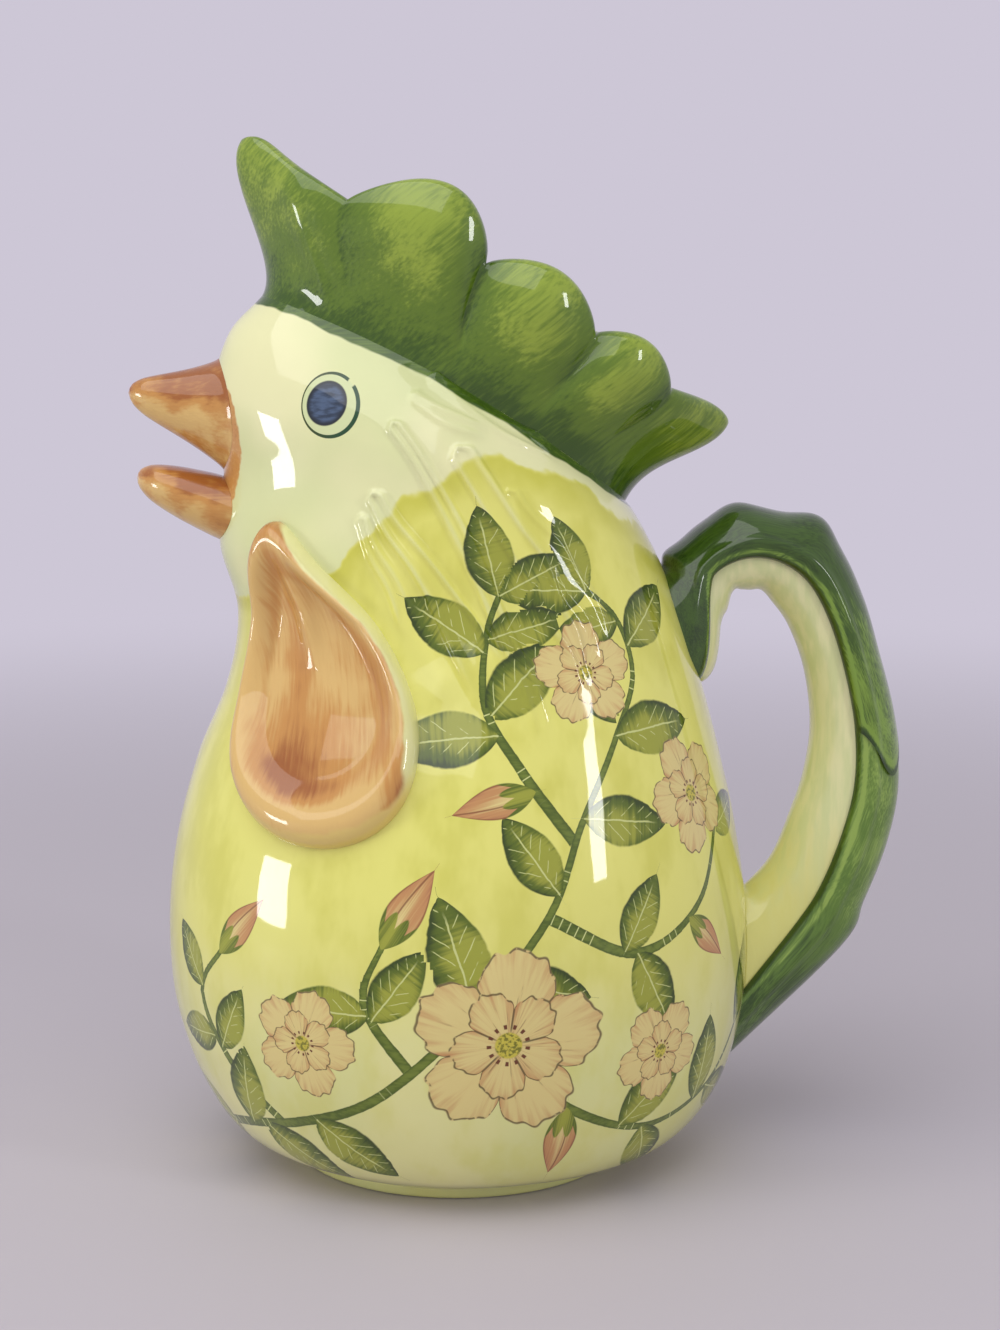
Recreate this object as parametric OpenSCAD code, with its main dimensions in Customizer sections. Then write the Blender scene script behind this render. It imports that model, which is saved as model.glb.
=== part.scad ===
// A glazed earthenware pitcher in the shape of a hen.
// The belly is an egg, the neck leans into the head, and the comb is the
// scalloped rim: it is open, and its front spike is the pouring lip.
// The bird looks along -X, the handle is at +X, the foot stands on z = 0.

/* [Belly and foot] */
// Length of the belly, breast to back
belly_l = 161; // [140:1:185]
// Width of the belly, side to side
belly_w = 150; // [130:1:175]
// Diameter of the flat that the belly ends in, under which the foot sits
base_d = 92; // [84:1:100]
// Outer diameter of the unglazed foot where it meets the table
foot_d = 84; // [76:1:88]
// Height of the foot
foot_h = 3; // [2:0.5:5]
// Width of the foot, seen from below
foot_wall = 7; // [5:0.5:10]
// Thickness of the pitcher's wall
wall = 5; // [3.5:0.5:6.5]
// Thickness of the floor
floor_t = 6; // [5:0.5:8]

/* [Neck and head] */
// Height of the crown, where the comb starts at the front
crown_h = 238.5; // [220:0.5:255]
// Width of the neck
neck_w = 100; // [88:1:112]
// Width of the head at the eyes
head_w = 82; // [72:1:92]
// Width of the opening that the comb stands on
crown_w = 58; // [50:1:66]
// How far the sides of the comb's foot rise above a flat cut
crown_lift = 4.5; // [0:0.5:7]

/* [Comb] */
// Height of the front spike, the pouring lip, above the comb's foot
spike_h = 32.5; // [26:0.5:40]
// How far the front spike reaches out in front of the comb's foot
spike_reach = 24.5; // [16:0.5:30]
// Height of the tail spike above the comb's foot
tail_h = 31.5; // [26:0.5:38]
// How far the tail spike reaches out behind the comb's foot
tail_reach = 14.5; // [8:0.5:20]
// Height of the rim between the first spike and the first lobe
notch_h = 31.5; // [26:0.5:37]
// How far the tallest lobe rises above the notches beside it
lobe_rise = 14.5; // [6:0.5:17]
// How far the lobes swell out sideways
lobe_swell = 7; // [3:0.5:9]
// How far the rim flares out over the comb's foot on each side
rim_flare = 3; // [0:0.5:6]

/* [Beak] */
// How far the upper beak stands out from the face
upper_beak_l = 23; // [16:0.5:28]
// Width of the upper beak where it leaves the face
upper_beak_w = 29; // [24:0.5:34]
// Height of the upper beak where it leaves the face
upper_beak_h = 31; // [26:0.5:32]
// How far the lower beak stands out from the face
lower_beak_l = 22.5; // [15:0.5:26]
// Width of the lower beak where it leaves the face
lower_beak_w = 27; // [22:0.5:31]
// Height of the lower beak where it leaves the face
lower_beak_h = 17.5; // [14:0.5:18.5]

/* [Wattles] */
// Height of a wattle
wattle_h = 86; // [76:1:94]
// Width of a wattle at its widest
wattle_w = 60; // [50:1:66]
// How far a wattle's lip stands out from the breast
wattle_lip = 6; // [4:0.5:8]
// How far the dished middle of a wattle stands out
wattle_dish = 2.6; // [2:0.2:3.6]

/* [Handle] */
// Reach of the handle behind the belly, to the middle of its grip
handle_reach = 31; // [28:0.5:38]
// Width of the handle's grip, side to side
grip_w = 22; // [18:0.5:27]
// Thickness of the handle's pale core, palm side to finger side
grip_t = 19; // [16:0.5:23]
// Thickness of the green feathers over the handle
feather_t = 4; // [3:0.25:5]

/* [Hidden] */
// Clearance between a piece and the clay that it is luted to
seam = 0.35;
// Clearance of a feather over the handle's core
feather_gap = 0.6;
// Steps round the body and the comb
around = 72;
// Steps round a handle, a beak or a wattle
spoke = 24;
cream = "#e4e4ae";
yellow = "#dcd96c";
green = "#6c8f30";
dark_green = "#3f6b2a";
amber = "#c0804c";
clay = "#e9dfcb";

// The wall is a stack of closed sections, each held by its foremost and its hindmost
// point and by its half width. The rows below run from the belly's underside to the crown.
front_reach_shares = [0.78, 0.905, 0.982, 1, 0.966, 0.888, 0.788, 0.75, 0.807, 0.79, 0.82, 0.768, 0.652];
front_height_shares = [0.046, 0.109, 0.193, 0.285, 0.386, 0.48, 0.562, 0.644, 0.721, 0.805, 0.889,
    0.956, 1];
back_reach_shares = [0.79, 0.93, 0.996, 1, 0.964, 0.904, 0.831, 0.757, 0.689, 0.652, 0.622, 0.596, 0.576];
back_height_shares = [0.036, 0.099, 0.187, 0.292, 0.386, 0.478, 0.568, 0.645, 0.7, 0.725, 0.744,
    0.758, 0.766];
// Shares of each row's half width that come from the belly, the neck, the head and the crown
belly_shares = [0.8, 0.92, 0.985, 1, 0.955, 0.865, 0.4, 0, 0, 0, 0, 0, 0];
neck_shares = [0, 0, 0, 0, 0, 0, 0.54, 1, 0.52, 0, 0, 0, 0];
head_shares = [0, 0, 0, 0, 0, 0, 0, 0, 0.5, 1.06, 1, 0.52, 0];
crown_shares = [0, 0, 0, 0, 0, 0, 0, 0, 0, 0, 0, 0.52, 1];
// How much narrower each section is in front than behind
egg_shares = [0, 0, 0, 0.01, 0.03, 0.05, 0.07, 0.1, 0.13, 0.16, 0.17, 0.14, 0.08];
lift_shares = [0, 0, 0, 0, 0, 0, 0, 0, 0.05, 0.2, 0.45, 0.75, 1];

rows = concat(
    [[-base_d / 2, foot_h, base_d / 2, foot_h, base_d / 2, 0, 0]],
    [for (i = [0 : len(front_reach_shares) - 1]) [
        -front_reach_shares[i] * belly_l / 2,
        front_height_shares[i] * crown_h,
        back_reach_shares[i] * belly_l / 2,
        back_height_shares[i] * crown_h,
        (belly_shares[i] * belly_w + neck_shares[i] * neck_w
            + head_shares[i] * head_w + crown_shares[i] * crown_w) / 2,
        egg_shares[i],
        lift_shares[i] * crown_lift
    ]]
);
top = len(rows) - 1;

function unit(a) = a / norm(a);
function clamp(a, low, high) = min(max(a, low), high);
function smooth(a) = let (c = clamp(a, 0, 1)) c * c * (3 - 2 * c);

// A smooth curve through a list of rows, read at a real number s between 0 and the last row
function through(list, s) =
    let (
        last = len(list) - 1,
        i = clamp(floor(s), 0, last - 1),
        t = s - i,
        b = list[i],
        c = list[i + 1],
        a = i > 0 ? list[i - 1] : 2 * b - c,
        d = i + 2 <= last ? list[i + 2] : 2 * c - b
    )
    b + t * (c - a + t * (2 * a - 5 * b + 4 * c - d + t * (3 * b - 3 * c + d - a))) / 2;

// A point of the wall: u is the angle from the breast round the left side to the back,
// s the row, and inset the depth below the glaze
function skin(u, s, inset = 0) =
    let (
        r = through(rows, s),
        front = [r[0], 0, r[1]],
        back = [r[2], 0, r[3]],
        ahead = unit(front - back),
        up = [ahead[2], 0, -ahead[0]],
        long = norm(front - back) / 2 - inset,
        half = r[4] - inset
    )
    (front + back) / 2 + ahead * long * cos(u)
        - [0, half * sin(u) * (1 - r[5] * cos(u)), 0]
        + up * (r[6] * sin(u) * sin(u));

function skin_normal(u, s) =
    let (
        du = skin(u + 1, s) - skin(u - 1, s),
        ds = skin(u, min(s + 0.05, top)) - skin(u, max(s - 0.05, 0))
    )
    unit(cross(du, ds));

// A point of the wall reached from a centre (u, s) by walking p around and q up, in real sizes
function walk(u, s, p, q) =
    let (
        wide = norm(skin(u + 1, s) - skin(u - 1, s)) / 2,
        tall = norm(skin(u, s + 0.25) - skin(u, s - 0.25)) * 2
    )
    [u + p / wide, s + q / tall];

// The point of the wall that walk reaches, raised by out along the wall's normal
function skin_patch(u, s, p, q, out) =
    let (at = walk(u, s, p, q))
    skin(at[0], at[1]) + skin_normal(at[0], at[1]) * out;

// A solid from closed rings of equal length, ended by a point under the first ring
// and a point over the last one
module stack(first, rings, last) {
    n = len(rings[0]);
    m = len(rings);
    ends = [m * n, m * n + 1];
    polyhedron(
        points = concat([for (r = rings, p = r) p], [first, last]),
        faces = concat(
            [for (k = [0 : n - 1]) [ends[0], k, (k + 1) % n]],
            [for (j = [0 : m - 2], k = [0 : n - 1], half = [0, 1])
                let (a = j * n + k, b = j * n + (k + 1) % n, c = b + n, d = a + n)
                half == 0 ? [c, b, a] : [d, c, a]],
            [for (k = [0 : n - 1]) [ends[1], (m - 1) * n + (k + 1) % n, (m - 1) * n + k]]
        )
    );
}

// A ring-shaped solid from closed rings, the last of which joins the first
module loop(rings) {
    n = len(rings[0]);
    m = len(rings);
    polyhedron(
        points = [for (r = rings, p = r) p],
        faces = [for (j = [0 : m - 1], k = [0 : n - 1], half = [0, 1])
            let (a = j * n + k, b = j * n + (k + 1) % n,
                 c = ((j + 1) % m) * n + (k + 1) % n, d = ((j + 1) % m) * n + k)
            half == 0 ? [c, b, a] : [d, c, a]]
    );
}

// A curved plate between two grids of points with the same rows and columns
module plate(top_grid, under_grid) {
    m = len(top_grid);
    n = len(top_grid[0]);
    low = m * n;
    edge = concat(
        [for (k = [0 : n - 2]) k],
        [for (j = [0 : m - 2]) j * n + n - 1],
        [for (k = [n - 1 : -1 : 1]) (m - 1) * n + k],
        [for (j = [m - 1 : -1 : 1]) j * n]
    );
    count = len(edge);
    polyhedron(
        points = concat([for (r = top_grid, p = r) p], [for (r = under_grid, p = r) p]),
        faces = concat(
            [for (j = [0 : m - 2], k = [0 : n - 2], half = [0, 1])
                let (a = j * n + k, b = a + 1, c = a + n + 1, d = a + n)
                half == 0 ? [c, b, a] : [d, c, a]],
            [for (j = [0 : m - 2], k = [0 : n - 2], half = [0, 1])
                let (a = low + j * n + k, b = a + 1, c = a + n + 1, d = a + n)
                half == 0 ? [a, b, c] : [a, c, d]],
            [for (i = [0 : count - 1], half = [0, 1])
                let (a = edge[i], b = edge[(i + 1) % count])
                half == 0 ? [b + low, a + low, a] : [b, b + low, a]]
        )
    );
}

// The foot is a turned ring, rounded up into the belly
module foot_ring() {
    bevel = (base_d - foot_d) / 2;
    color(clay) rotate_extrude($fn = 96) polygon([
        [foot_d / 2 - foot_wall, 0],
        [foot_d / 2, 0],
        [foot_d / 2 + bevel / 2, foot_h / 3],
        [base_d / 2, foot_h],
        [foot_d / 2 - foot_wall, foot_h]
    ]);
}

// The belly, neck and head are one hollow wall, open at the crown
module body() {
    floor_row = 0.7;
    outer = [for (j = [0 : 2 * top]) j / 2];
    inner = concat([for (j = [top : -1 : 1]) j], [floor_row]);
    inner_low = skin(0, floor_row)[2];
    sink = foot_h + floor_t - inner_low;
    color(yellow) stack(
        [0, 0, foot_h],
        concat(
            [for (s = outer) [for (k = [0 : around - 1]) skin(k * 360 / around, s)]],
            [for (s = inner) [for (k = [0 : around - 1])
                skin(k * 360 / around, s, wall) + [0, 0, max(sink * (1 - s), 0)]]]
        ),
        [0, 0, foot_h + floor_t]
    );
}

// Ends of the comb's spikes and the notches between its three lobes, front to back
notch_shares = [0, 0.212, 0.47, 0.695, 0.862, 1];
notch_height_shares = [1, 0.96, 1.06, 0.99, 0.91, 1];
lobe_rise_shares = [0, 1, 0.62, 0.48, 0];
// How much the two spikes narrow towards their tips, and over how much of the comb's length
tip_nip_share = 0.5;
tip_length_share = 0.1;
// How much the spikes swell out beside the lobes, and the share of a turn that a swelling
// flank goes through
spike_swell_share = 0.4;
flank_turn_share = 0.4;
// How far the rim rises behind the tips of the front spike and the tail, and where on the comb's
// length, so that the tips are blunt
front_knob_h = 1.8;
tail_knob_h = 1.8;
front_knob_share = 0.03;
tail_knob_share = 0.055;

// A rise that starts at zero, is one at the share, and dies away
function knob(c, share) = c / share * exp(1 - c / share);

// The comb's flank at angle u, as a share t of its height
function comb_point(u, t, inset = 0) =
    let (
        foot = skin(u, top, inset),
        front = skin(0, top),
        back = skin(180, top),
        along = unit(back - front),
        up = [-along[2], 0, along[0]],
        c = (1 - cos(u)) / 2,
        i = c < notch_shares[1] ? 0 : c < notch_shares[2] ? 1
            : c < notch_shares[3] ? 2 : c < notch_shares[4] ? 3 : 4,
        k = (c - notch_shares[i]) / (notch_shares[i + 1] - notch_shares[i]),
        bump = i == 0 ? cos(90 * k) : i == 4 ? sin(90 * k) : pow(sin(180 * pow(k, 1.12)), 0.7),
        low = i == 0 ? spike_h : notch_height_shares[i] * notch_h,
        high = i == 4 ? tail_h : notch_height_shares[i + 1] * notch_h,
        out = tail_reach * c * pow(smooth(t), 1.3) - spike_reach * (1 - c) * smooth(t),
        tall = low + (high - low) * k + lobe_rise * lobe_rise_shares[i] * bump
            + front_knob_h * knob(c, front_knob_share) + tail_knob_h * knob(1 - c, tail_knob_share),
        side = -sign(sin(u)) * pow(abs(sin(u)), 1.2),
        lift = crown_lift * sin(u) * sin(u),
        swell = lobe_swell * bump * sin(360 * flank_turn_share * pow(t, 1.6)),
        wide = rim_flare * t + swell * (i == 0 || i == 4 ? spike_swell_share : 1),
        tip = exp(-pow(c / tip_length_share, 2)) + exp(-pow((1 - c) / tip_length_share, 2)),
        narrow = 1 - tip_nip_share * t * tip
    )
    [foot[0], foot[1] * narrow, foot[2]] + along * out + up * (seam + (tall - lift) * t)
        + [0, side * wide * narrow, 0];

// The comb is the pitcher's open rim
module comb() {
    rise_shares = [0, 0.1, 0.22, 0.35, 0.48, 0.6, 0.72, 0.83, 0.93, 1];
    rim_round_share = 0.45;
    last = len(rise_shares) - 1;
    rim = [for (k = [0 : around - 1])
        let (u = k * 360 / around, middle = (comb_point(u, 1) + comb_point(u, 1, wall)) / 2,
             below = comb_point(u, rise_shares[last - 1], wall / 2))
        middle + unit(middle - below) * wall * rim_round_share];
    color(green) loop(concat(
        [for (t = rise_shares) [for (k = [0 : around - 1]) comb_point(k * 360 / around, t)]],
        [rim],
        [for (j = [last : -1 : 0])
            [for (k = [0 : around - 1]) comb_point(k * 360 / around, rise_shares[j], wall)]]
    ));
}

// A round patch of the wall about (u, s), w wide and h high, at a share r of its radius
function patch_ring(u, s, w, h, r, out) =
    [for (k = [0 : spoke - 1])
        let (a = k * 360 / spoke)
        skin_patch(u, s, r * w / 2 * cos(a), r * h / 2 * sin(a), out)];

// How a beak half narrows from the face to its tip, and how high the tips turn up
beak_reach_shares = [0, 0.12, 0.3, 0.5, 0.7, 0.85, 0.95, 0.99];
upper_beak_size_shares = [1, 0.86, 0.71, 0.57, 0.44, 0.33, 0.21, 0.1];
lower_beak_size_shares = [1, 0.97, 0.9, 0.81, 0.68, 0.53, 0.33, 0.16];
upper_tip_share = 0.2;
lower_tip_share = 0.37;
// Places of the middles of the beak halves, as shares of the way up the rows of the wall
upper_beak_place_share = 0.829;
lower_beak_place_share = 0.7285;
// Sizes of the rings that a beak's root has between its middle and its edge
inner_ring_shares = [0.35, 0.7];

// Half of the beak: a round patch of the face drawn out to a blunt point
module beak_half(place_share, w, h, reach, size_shares) {
    s = place_share * top;
    root = patch_ring(0, s, w, h, 1, seam);
    inside = [for (r = inner_ring_shares) patch_ring(0, s, w, h, r, seam)];
    middle = skin(0, s) - [seam, 0, 0];
    tip = middle + reach;
    rings = [for (i = [0 : len(beak_reach_shares) - 1])
        let (c = middle + reach * beak_reach_shares[i])
        [for (p = root) c + (p - middle) * size_shares[i]]];
    stack(middle, concat(inside, rings), tip);
}

module upper_beak() {
    reach = [-upper_beak_l, 0, upper_beak_l * upper_tip_share];
    color(amber) beak_half(
        upper_beak_place_share, upper_beak_w, upper_beak_h, reach, upper_beak_size_shares);
}

module lower_beak() {
    reach = [-lower_beak_l, 0, lower_beak_l * lower_tip_share];
    color(amber) beak_half(
        lower_beak_place_share, lower_beak_w, lower_beak_h, reach, lower_beak_size_shares);
}

// Place of the middle of the left wattle: the share of a turn round from the breast, and the
// share of the way up the rows of the wall
wattle_turn_share = 0.1417;
wattle_place_share = 0.567;
// Rings of a wattle from its middle to its edge, where its dish ends and where its lip is highest
wattle_ring_shares = [0, 0.2, 0.4, 0.55, 0.68, 0.8, 0.9, 0.97, 1];
dish_share = 0.35;
crest_share = 0.78;
// Height of the edge over the wall
wattle_edge = 1;
// Width of a wattle at its top, how much it gains below, and how far it leans back
wattle_top_share = 0.42;
wattle_swell_share = 0.68;
wattle_lean_share = 0.18;

// Height of a wattle's face over its back, at share r from its middle to its edge
function wattle_rise(r) =
    r < crest_share
        ? wattle_dish + (wattle_lip - wattle_dish) * smooth((r - dish_share) / (crest_share - dish_share))
        : wattle_edge + (wattle_lip - wattle_edge)
            * sqrt(max(1 - pow((r - crest_share) / (1 - crest_share), 2), 0));

// A point of a wattle, a teardrop that swells towards its lower end: a is the angle
// from its top, r the share from its middle to its edge, and out the height over the wall
function wattle_point(a, r, out) =
    let (p = wattle_w / 2 * r * sin(a)
             * (wattle_top_share + wattle_swell_share * pow(abs(sin(a / 2)), 1.7)),
         q = wattle_h / 2 * r * cos(a))
    skin_patch(360 * wattle_turn_share, wattle_place_share * top, p - q * wattle_lean_share, q, out);

// A wattle is a raised teardrop with a rolled lip and a dished middle
module wattle() {
    angles = [for (k = [0 : spoke * 2 - 1]) -k * 180 / spoke];
    back_shares = [0.3, 0.55, 0.75, 0.9, 1];
    last = len(wattle_ring_shares) - 1;
    color(amber) stack(
        wattle_point(0, 0, seam),
        concat(
            [for (r = back_shares) [for (a = angles) wattle_point(a, r, seam)]],
            [for (j = [last : -1 : 1])
                let (r = wattle_ring_shares[j])
                [for (a = angles) wattle_point(a, r, seam + wattle_rise(r))]]
        ),
        wattle_point(0, 0, seam + wattle_dish)
    );
}

module left_wattle() {
    wattle();
}

module right_wattle() {
    mirror([0, 1, 0]) wattle();
}

// Places of the handle's roots, as shares of the way up the rows of the wall, and their sizes
upper_root_place_share = 0.591;
lower_root_place_share = 0.241;
upper_root_h = 32;
lower_root_h = 50;
root_spread = 4;
// Size of the ring that a root's end has between its middle and its edge
root_ring_share = 0.58;
// The handle's spine between its roots, from the upper one: how far behind the belly,
// how high, and how thick, with its outer side to the left of the way it runs
spine_reach_shares = [-0.4, -0.24, 0, 0.25, 0.48, 0.66, 0.81, 0.92, 0.93, 0.83, 0.65, 0.44];
spine_height_shares = [0.672, 0.692, 0.701, 0.695, 0.673, 0.633, 0.576, 0.507, 0.44, 0.382, 0.321, 0.277];
spine_t_shares = [0.82, 0.87, 1, 0.94, 1.03, 0.95, 0.91, 1.03, 1.24, 1.34, 1.37, 1.53];

upper_row = upper_root_place_share * top;
lower_row = lower_root_place_share * top;

// The spine's end on the wall at a row
function root_bone(row) = let (p = skin(180, row)) [p[0], p[2], grip_t / 2];

spine = concat(
    [root_bone(upper_row)],
    [for (i = [0 : len(spine_reach_shares) - 1]) [
        belly_l / 2 + spine_reach_shares[i] * handle_reach,
        spine_height_shares[i] * crown_h,
        spine_t_shares[i] * grip_t / 2
    ]],
    [root_bone(lower_row)]
);
last_bone = len(spine) - 1;

// A point on the round of a root: a is 90 on the handle's outer side, out the height over the core
function root_point(a, out, row, tall) =
    skin_patch(180, row, ((grip_w + root_spread) / 2 + out) * cos(a), tall * sin(a), seam);

function spine_point(a, s, out) =
    let (
        m = through(spine, s),
        way = through(spine, s + 0.05) - through(spine, s - 0.05),
        along = unit([way[0], way[1]]),
        reach = (m[2] + out) * sin(a)
    )
    [m[0] - along[1] * reach, (grip_w / 2 + out) * cos(a), m[1] + along[0] * reach];

// A point of the handle at angle a round its spine and bone s along it, out over the core
function handle_point(a, s, out = 0) =
    through(concat(
        [root_point(a, out, upper_row, upper_root_h / 2 + out)],
        [for (j = [1 : last_bone - 1]) spine_point(a, j, out)],
        [root_point(a, out, lower_row, -lower_root_h / 2 - out)]
    ), s);

function handle_ring(s) = [for (k = [0 : spoke - 1]) handle_point(k * 360 / spoke, s)];

// The handle's core is a rounded strap whose ends lie on the wall
module handle() {
    ends = [[upper_row, upper_root_h / 2], [lower_row, -lower_root_h / 2]];
    middle = [for (e = ends) skin(180, e[0]) + [seam, 0, 0]];
    caps = [for (e = ends) [for (k = [0 : spoke - 1])
        let (a = k * 360 / spoke, r = root_ring_share)
        skin_patch(180, e[0], (grip_w + root_spread) / 2 * r * cos(a), e[1] * r * sin(a), seam)]];
    color(cream) stack(
        middle[0],
        concat([caps[0]], [for (j = [0 : 3 * last_bone]) handle_ring(j / 3)], [caps[1]]),
        middle[1]
    );
}

// Knuckles along the ridge of the upper feather: their places and length, as shares of the
// spine, and how far each stands up
knuckle_place_shares = [0.0885, 0.2115, 0.3385];
knuckle_length_share = 0.0346;
knuckle_h = 4;
knuckle_h_shares = [0.15, 0.15, 0.9];
// Share of a turn that the feathers reach round the core on each side, along the grip and at
// the upper root, and the share of the spine over which the wider one fades
grip_wrap_share = 0.2444;
root_wrap_share = 0.403;
wrap_fade_share = 0.1077;
// Thickness of a feather at its edges, and how much thinner the lower feather is
feather_edge_share = 0.4;
lower_thin_share = 0.17;
// Where the upper feather ends on the spine, how far its tongues reach on from there over the
// lower one, and the joint between the two
tongue_place_share = 0.623;
tongue_length_share = 0.0577;
joint_share = 0.0023;

// Thickness of a feather at share k across it, from one edge to the other, at bone s
function feather_rise(k, s) =
    let (
        round_off = sqrt(max(1 - pow(abs(2 * k - 1), 4), 0)),
        ridge = pow(max(sin(180 * k), 0), 3),
        way = s / last_bone,
        bumps = [for (i = [0 : len(knuckle_place_shares) - 1])
            knuckle_h_shares[i] * exp(-pow((way - knuckle_place_shares[i]) / knuckle_length_share, 2))]
    )
    feather_t * (feather_edge_share + (1 - feather_edge_share) * round_off)
        + knuckle_h * ridge * (bumps[0] + bumps[1] + bumps[2]);

// Bone at which the upper feather ends at share k across it: a tongue in the middle of each half
function feather_end(k) =
    last_bone * (tongue_place_share + tongue_length_share * pow(sin(180 * abs(2 * k - 1)), 2));

// Angle that a feather reaches round the core on each side at bone s
function wrap_at(s) =
    let (fade = pow(max(1 - s / last_bone / wrap_fade_share, 0), 1.5))
    360 * (grip_wrap_share + (root_wrap_share - grip_wrap_share) * fade);

// A feather over the handle, from the upper root to its tongues or from there to the lower root
module feather(is_upper, steps, thin) {
    across = 14;
    ridge_angle = 90;
    grid = [for (j = [0 : steps]) [for (i = [0 : across])
        let (
            k = i / across,
            end = feather_end(k),
            start = end + last_bone * joint_share,
            s = is_upper ? end * j / steps : start + (last_bone - start) * j / steps
        )
        [ridge_angle + wrap_at(s) * (2 * k - 1), s, feather_gap + feather_rise(k, s) - thin]]];
    plate(
        [for (r = grid) [for (g = r) handle_point(g[0], g[1], g[2])]],
        [for (r = grid) [for (g = r) handle_point(g[0], g[1], feather_gap)]]
    );
}

module handle_upper_feather() {
    color(dark_green) feather(true, 28, 0);
}

module handle_lower_feather() {
    color(dark_green) feather(false, 16, feather_t * lower_thin_share);
}

foot_ring();
body();
comb();
upper_beak();
lower_beak();
left_wattle();
right_wattle();
handle();
handle_upper_feather();
handle_lower_feather();
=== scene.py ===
import bpy
import numpy as np
from mathutils import Matrix


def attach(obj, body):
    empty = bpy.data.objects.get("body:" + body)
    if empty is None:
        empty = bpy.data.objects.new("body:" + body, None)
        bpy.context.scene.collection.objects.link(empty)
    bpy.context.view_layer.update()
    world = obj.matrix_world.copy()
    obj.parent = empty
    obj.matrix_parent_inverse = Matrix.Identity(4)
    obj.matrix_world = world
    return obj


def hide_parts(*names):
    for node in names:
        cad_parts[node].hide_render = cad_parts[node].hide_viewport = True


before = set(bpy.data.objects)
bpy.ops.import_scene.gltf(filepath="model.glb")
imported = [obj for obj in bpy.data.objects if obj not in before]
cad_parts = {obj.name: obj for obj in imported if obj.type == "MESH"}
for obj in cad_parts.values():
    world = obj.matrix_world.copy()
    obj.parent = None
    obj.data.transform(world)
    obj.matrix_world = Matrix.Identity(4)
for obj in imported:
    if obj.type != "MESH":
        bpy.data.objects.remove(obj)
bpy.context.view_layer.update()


# The wall of belly, neck and head
# It is one hollow casting of white earthenware, open at the crown, with narrow neck feathers
# modelled on both sides. It is washed with yellow, painted by hand and covered with clear glaze.
mm = 0.001
belly_l = 161 * mm
belly_w = 150 * mm
base_d = 92 * mm
foot_h = 3 * mm
wall = 5 * mm
floor_t = 6 * mm
crown_h = 238.5 * mm
neck_w = 100 * mm
head_w = 82 * mm
crown_w = 58 * mm
crown_lift = 4.5 * mm

front_reach_shares = [0.78, 0.905, 0.982, 1, 0.966, 0.888, 0.788, 0.75, 0.807, 0.79, 0.82, 0.768, 0.652]
front_height_shares = [0.046, 0.109, 0.193, 0.285, 0.386, 0.48, 0.562, 0.644, 0.721, 0.805, 0.889, 0.956, 1]
back_reach_shares = [0.79, 0.93, 0.996, 1, 0.964, 0.904, 0.831, 0.757, 0.689, 0.652, 0.622, 0.596, 0.576]
back_height_shares = [0.036, 0.099, 0.187, 0.292, 0.386, 0.478, 0.568, 0.645, 0.7, 0.725, 0.744, 0.758, 0.766]
belly_shares = [0.8, 0.92, 0.985, 1, 0.955, 0.865, 0.4, 0, 0, 0, 0, 0, 0]
neck_shares = [0, 0, 0, 0, 0, 0, 0.54, 1, 0.52, 0, 0, 0, 0]
head_shares = [0, 0, 0, 0, 0, 0, 0, 0, 0.5, 1.06, 1, 0.52, 0]
crown_shares = [0, 0, 0, 0, 0, 0, 0, 0, 0, 0, 0, 0.52, 1]
egg_shares = [0, 0, 0, 0.01, 0.03, 0.05, 0.07, 0.1, 0.13, 0.16, 0.17, 0.14, 0.08]
lift_shares = [0, 0, 0, 0, 0, 0, 0, 0, 0.05, 0.2, 0.45, 0.75, 1]
half_widths = np.array([belly_shares, neck_shares, head_shares, crown_shares]).T @ [
    belly_w / 2, neck_w / 2, head_w / 2, crown_w / 2]
wall_rows = np.vstack([
    [-base_d / 2, foot_h, base_d / 2, foot_h, base_d / 2, 0, 0],
    np.stack([
        np.multiply(front_reach_shares, -belly_l / 2), np.multiply(front_height_shares, crown_h),
        np.multiply(back_reach_shares, belly_l / 2), np.multiply(back_height_shares, crown_h),
        half_widths, egg_shares, np.multiply(lift_shares, crown_lift)], axis=1)])
top = len(wall_rows) - 1


def unit(v):
    """The vectors v at length one."""
    return v / np.linalg.norm(v, axis=-1, keepdims=True)


def smooth(a):
    """Zero below 0, one above 1, and an S-curve between."""
    c = np.clip(a, 0, 1)
    return c * c * (3 - 2 * c)


def bell(a):
    """One at zero, dying away on both sides."""
    return np.exp(-a ** 2)


def circle(count):
    """Angles evenly round a circle."""
    return np.linspace(0, 2 * np.pi, count, endpoint=False)


def between(a, b, c, d, t):
    """Catmull-Rom curve from b to c at share t of the way, with a before them and d after."""
    return b + t * (c - a + t * (2 * a - 5 * b + 4 * c - d + t * (3 * b - 3 * c + d - a))) / 2


def through(rows, s):
    """That curve through all the rows, read at places s between 0 and the last row."""
    rows = np.asarray(rows, float)
    s = np.asarray(s, float)
    padded = np.concatenate([[2 * rows[0] - rows[1]], rows, [2 * rows[-1] - rows[-2]]])
    i = np.clip(np.floor(s), 0, len(rows) - 2).astype(int)
    t = (s - i).reshape(s.shape + (1,) * (rows.ndim - 1))
    return between(padded[i], padded[i + 1], padded[i + 2], padded[i + 3], t)


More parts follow.
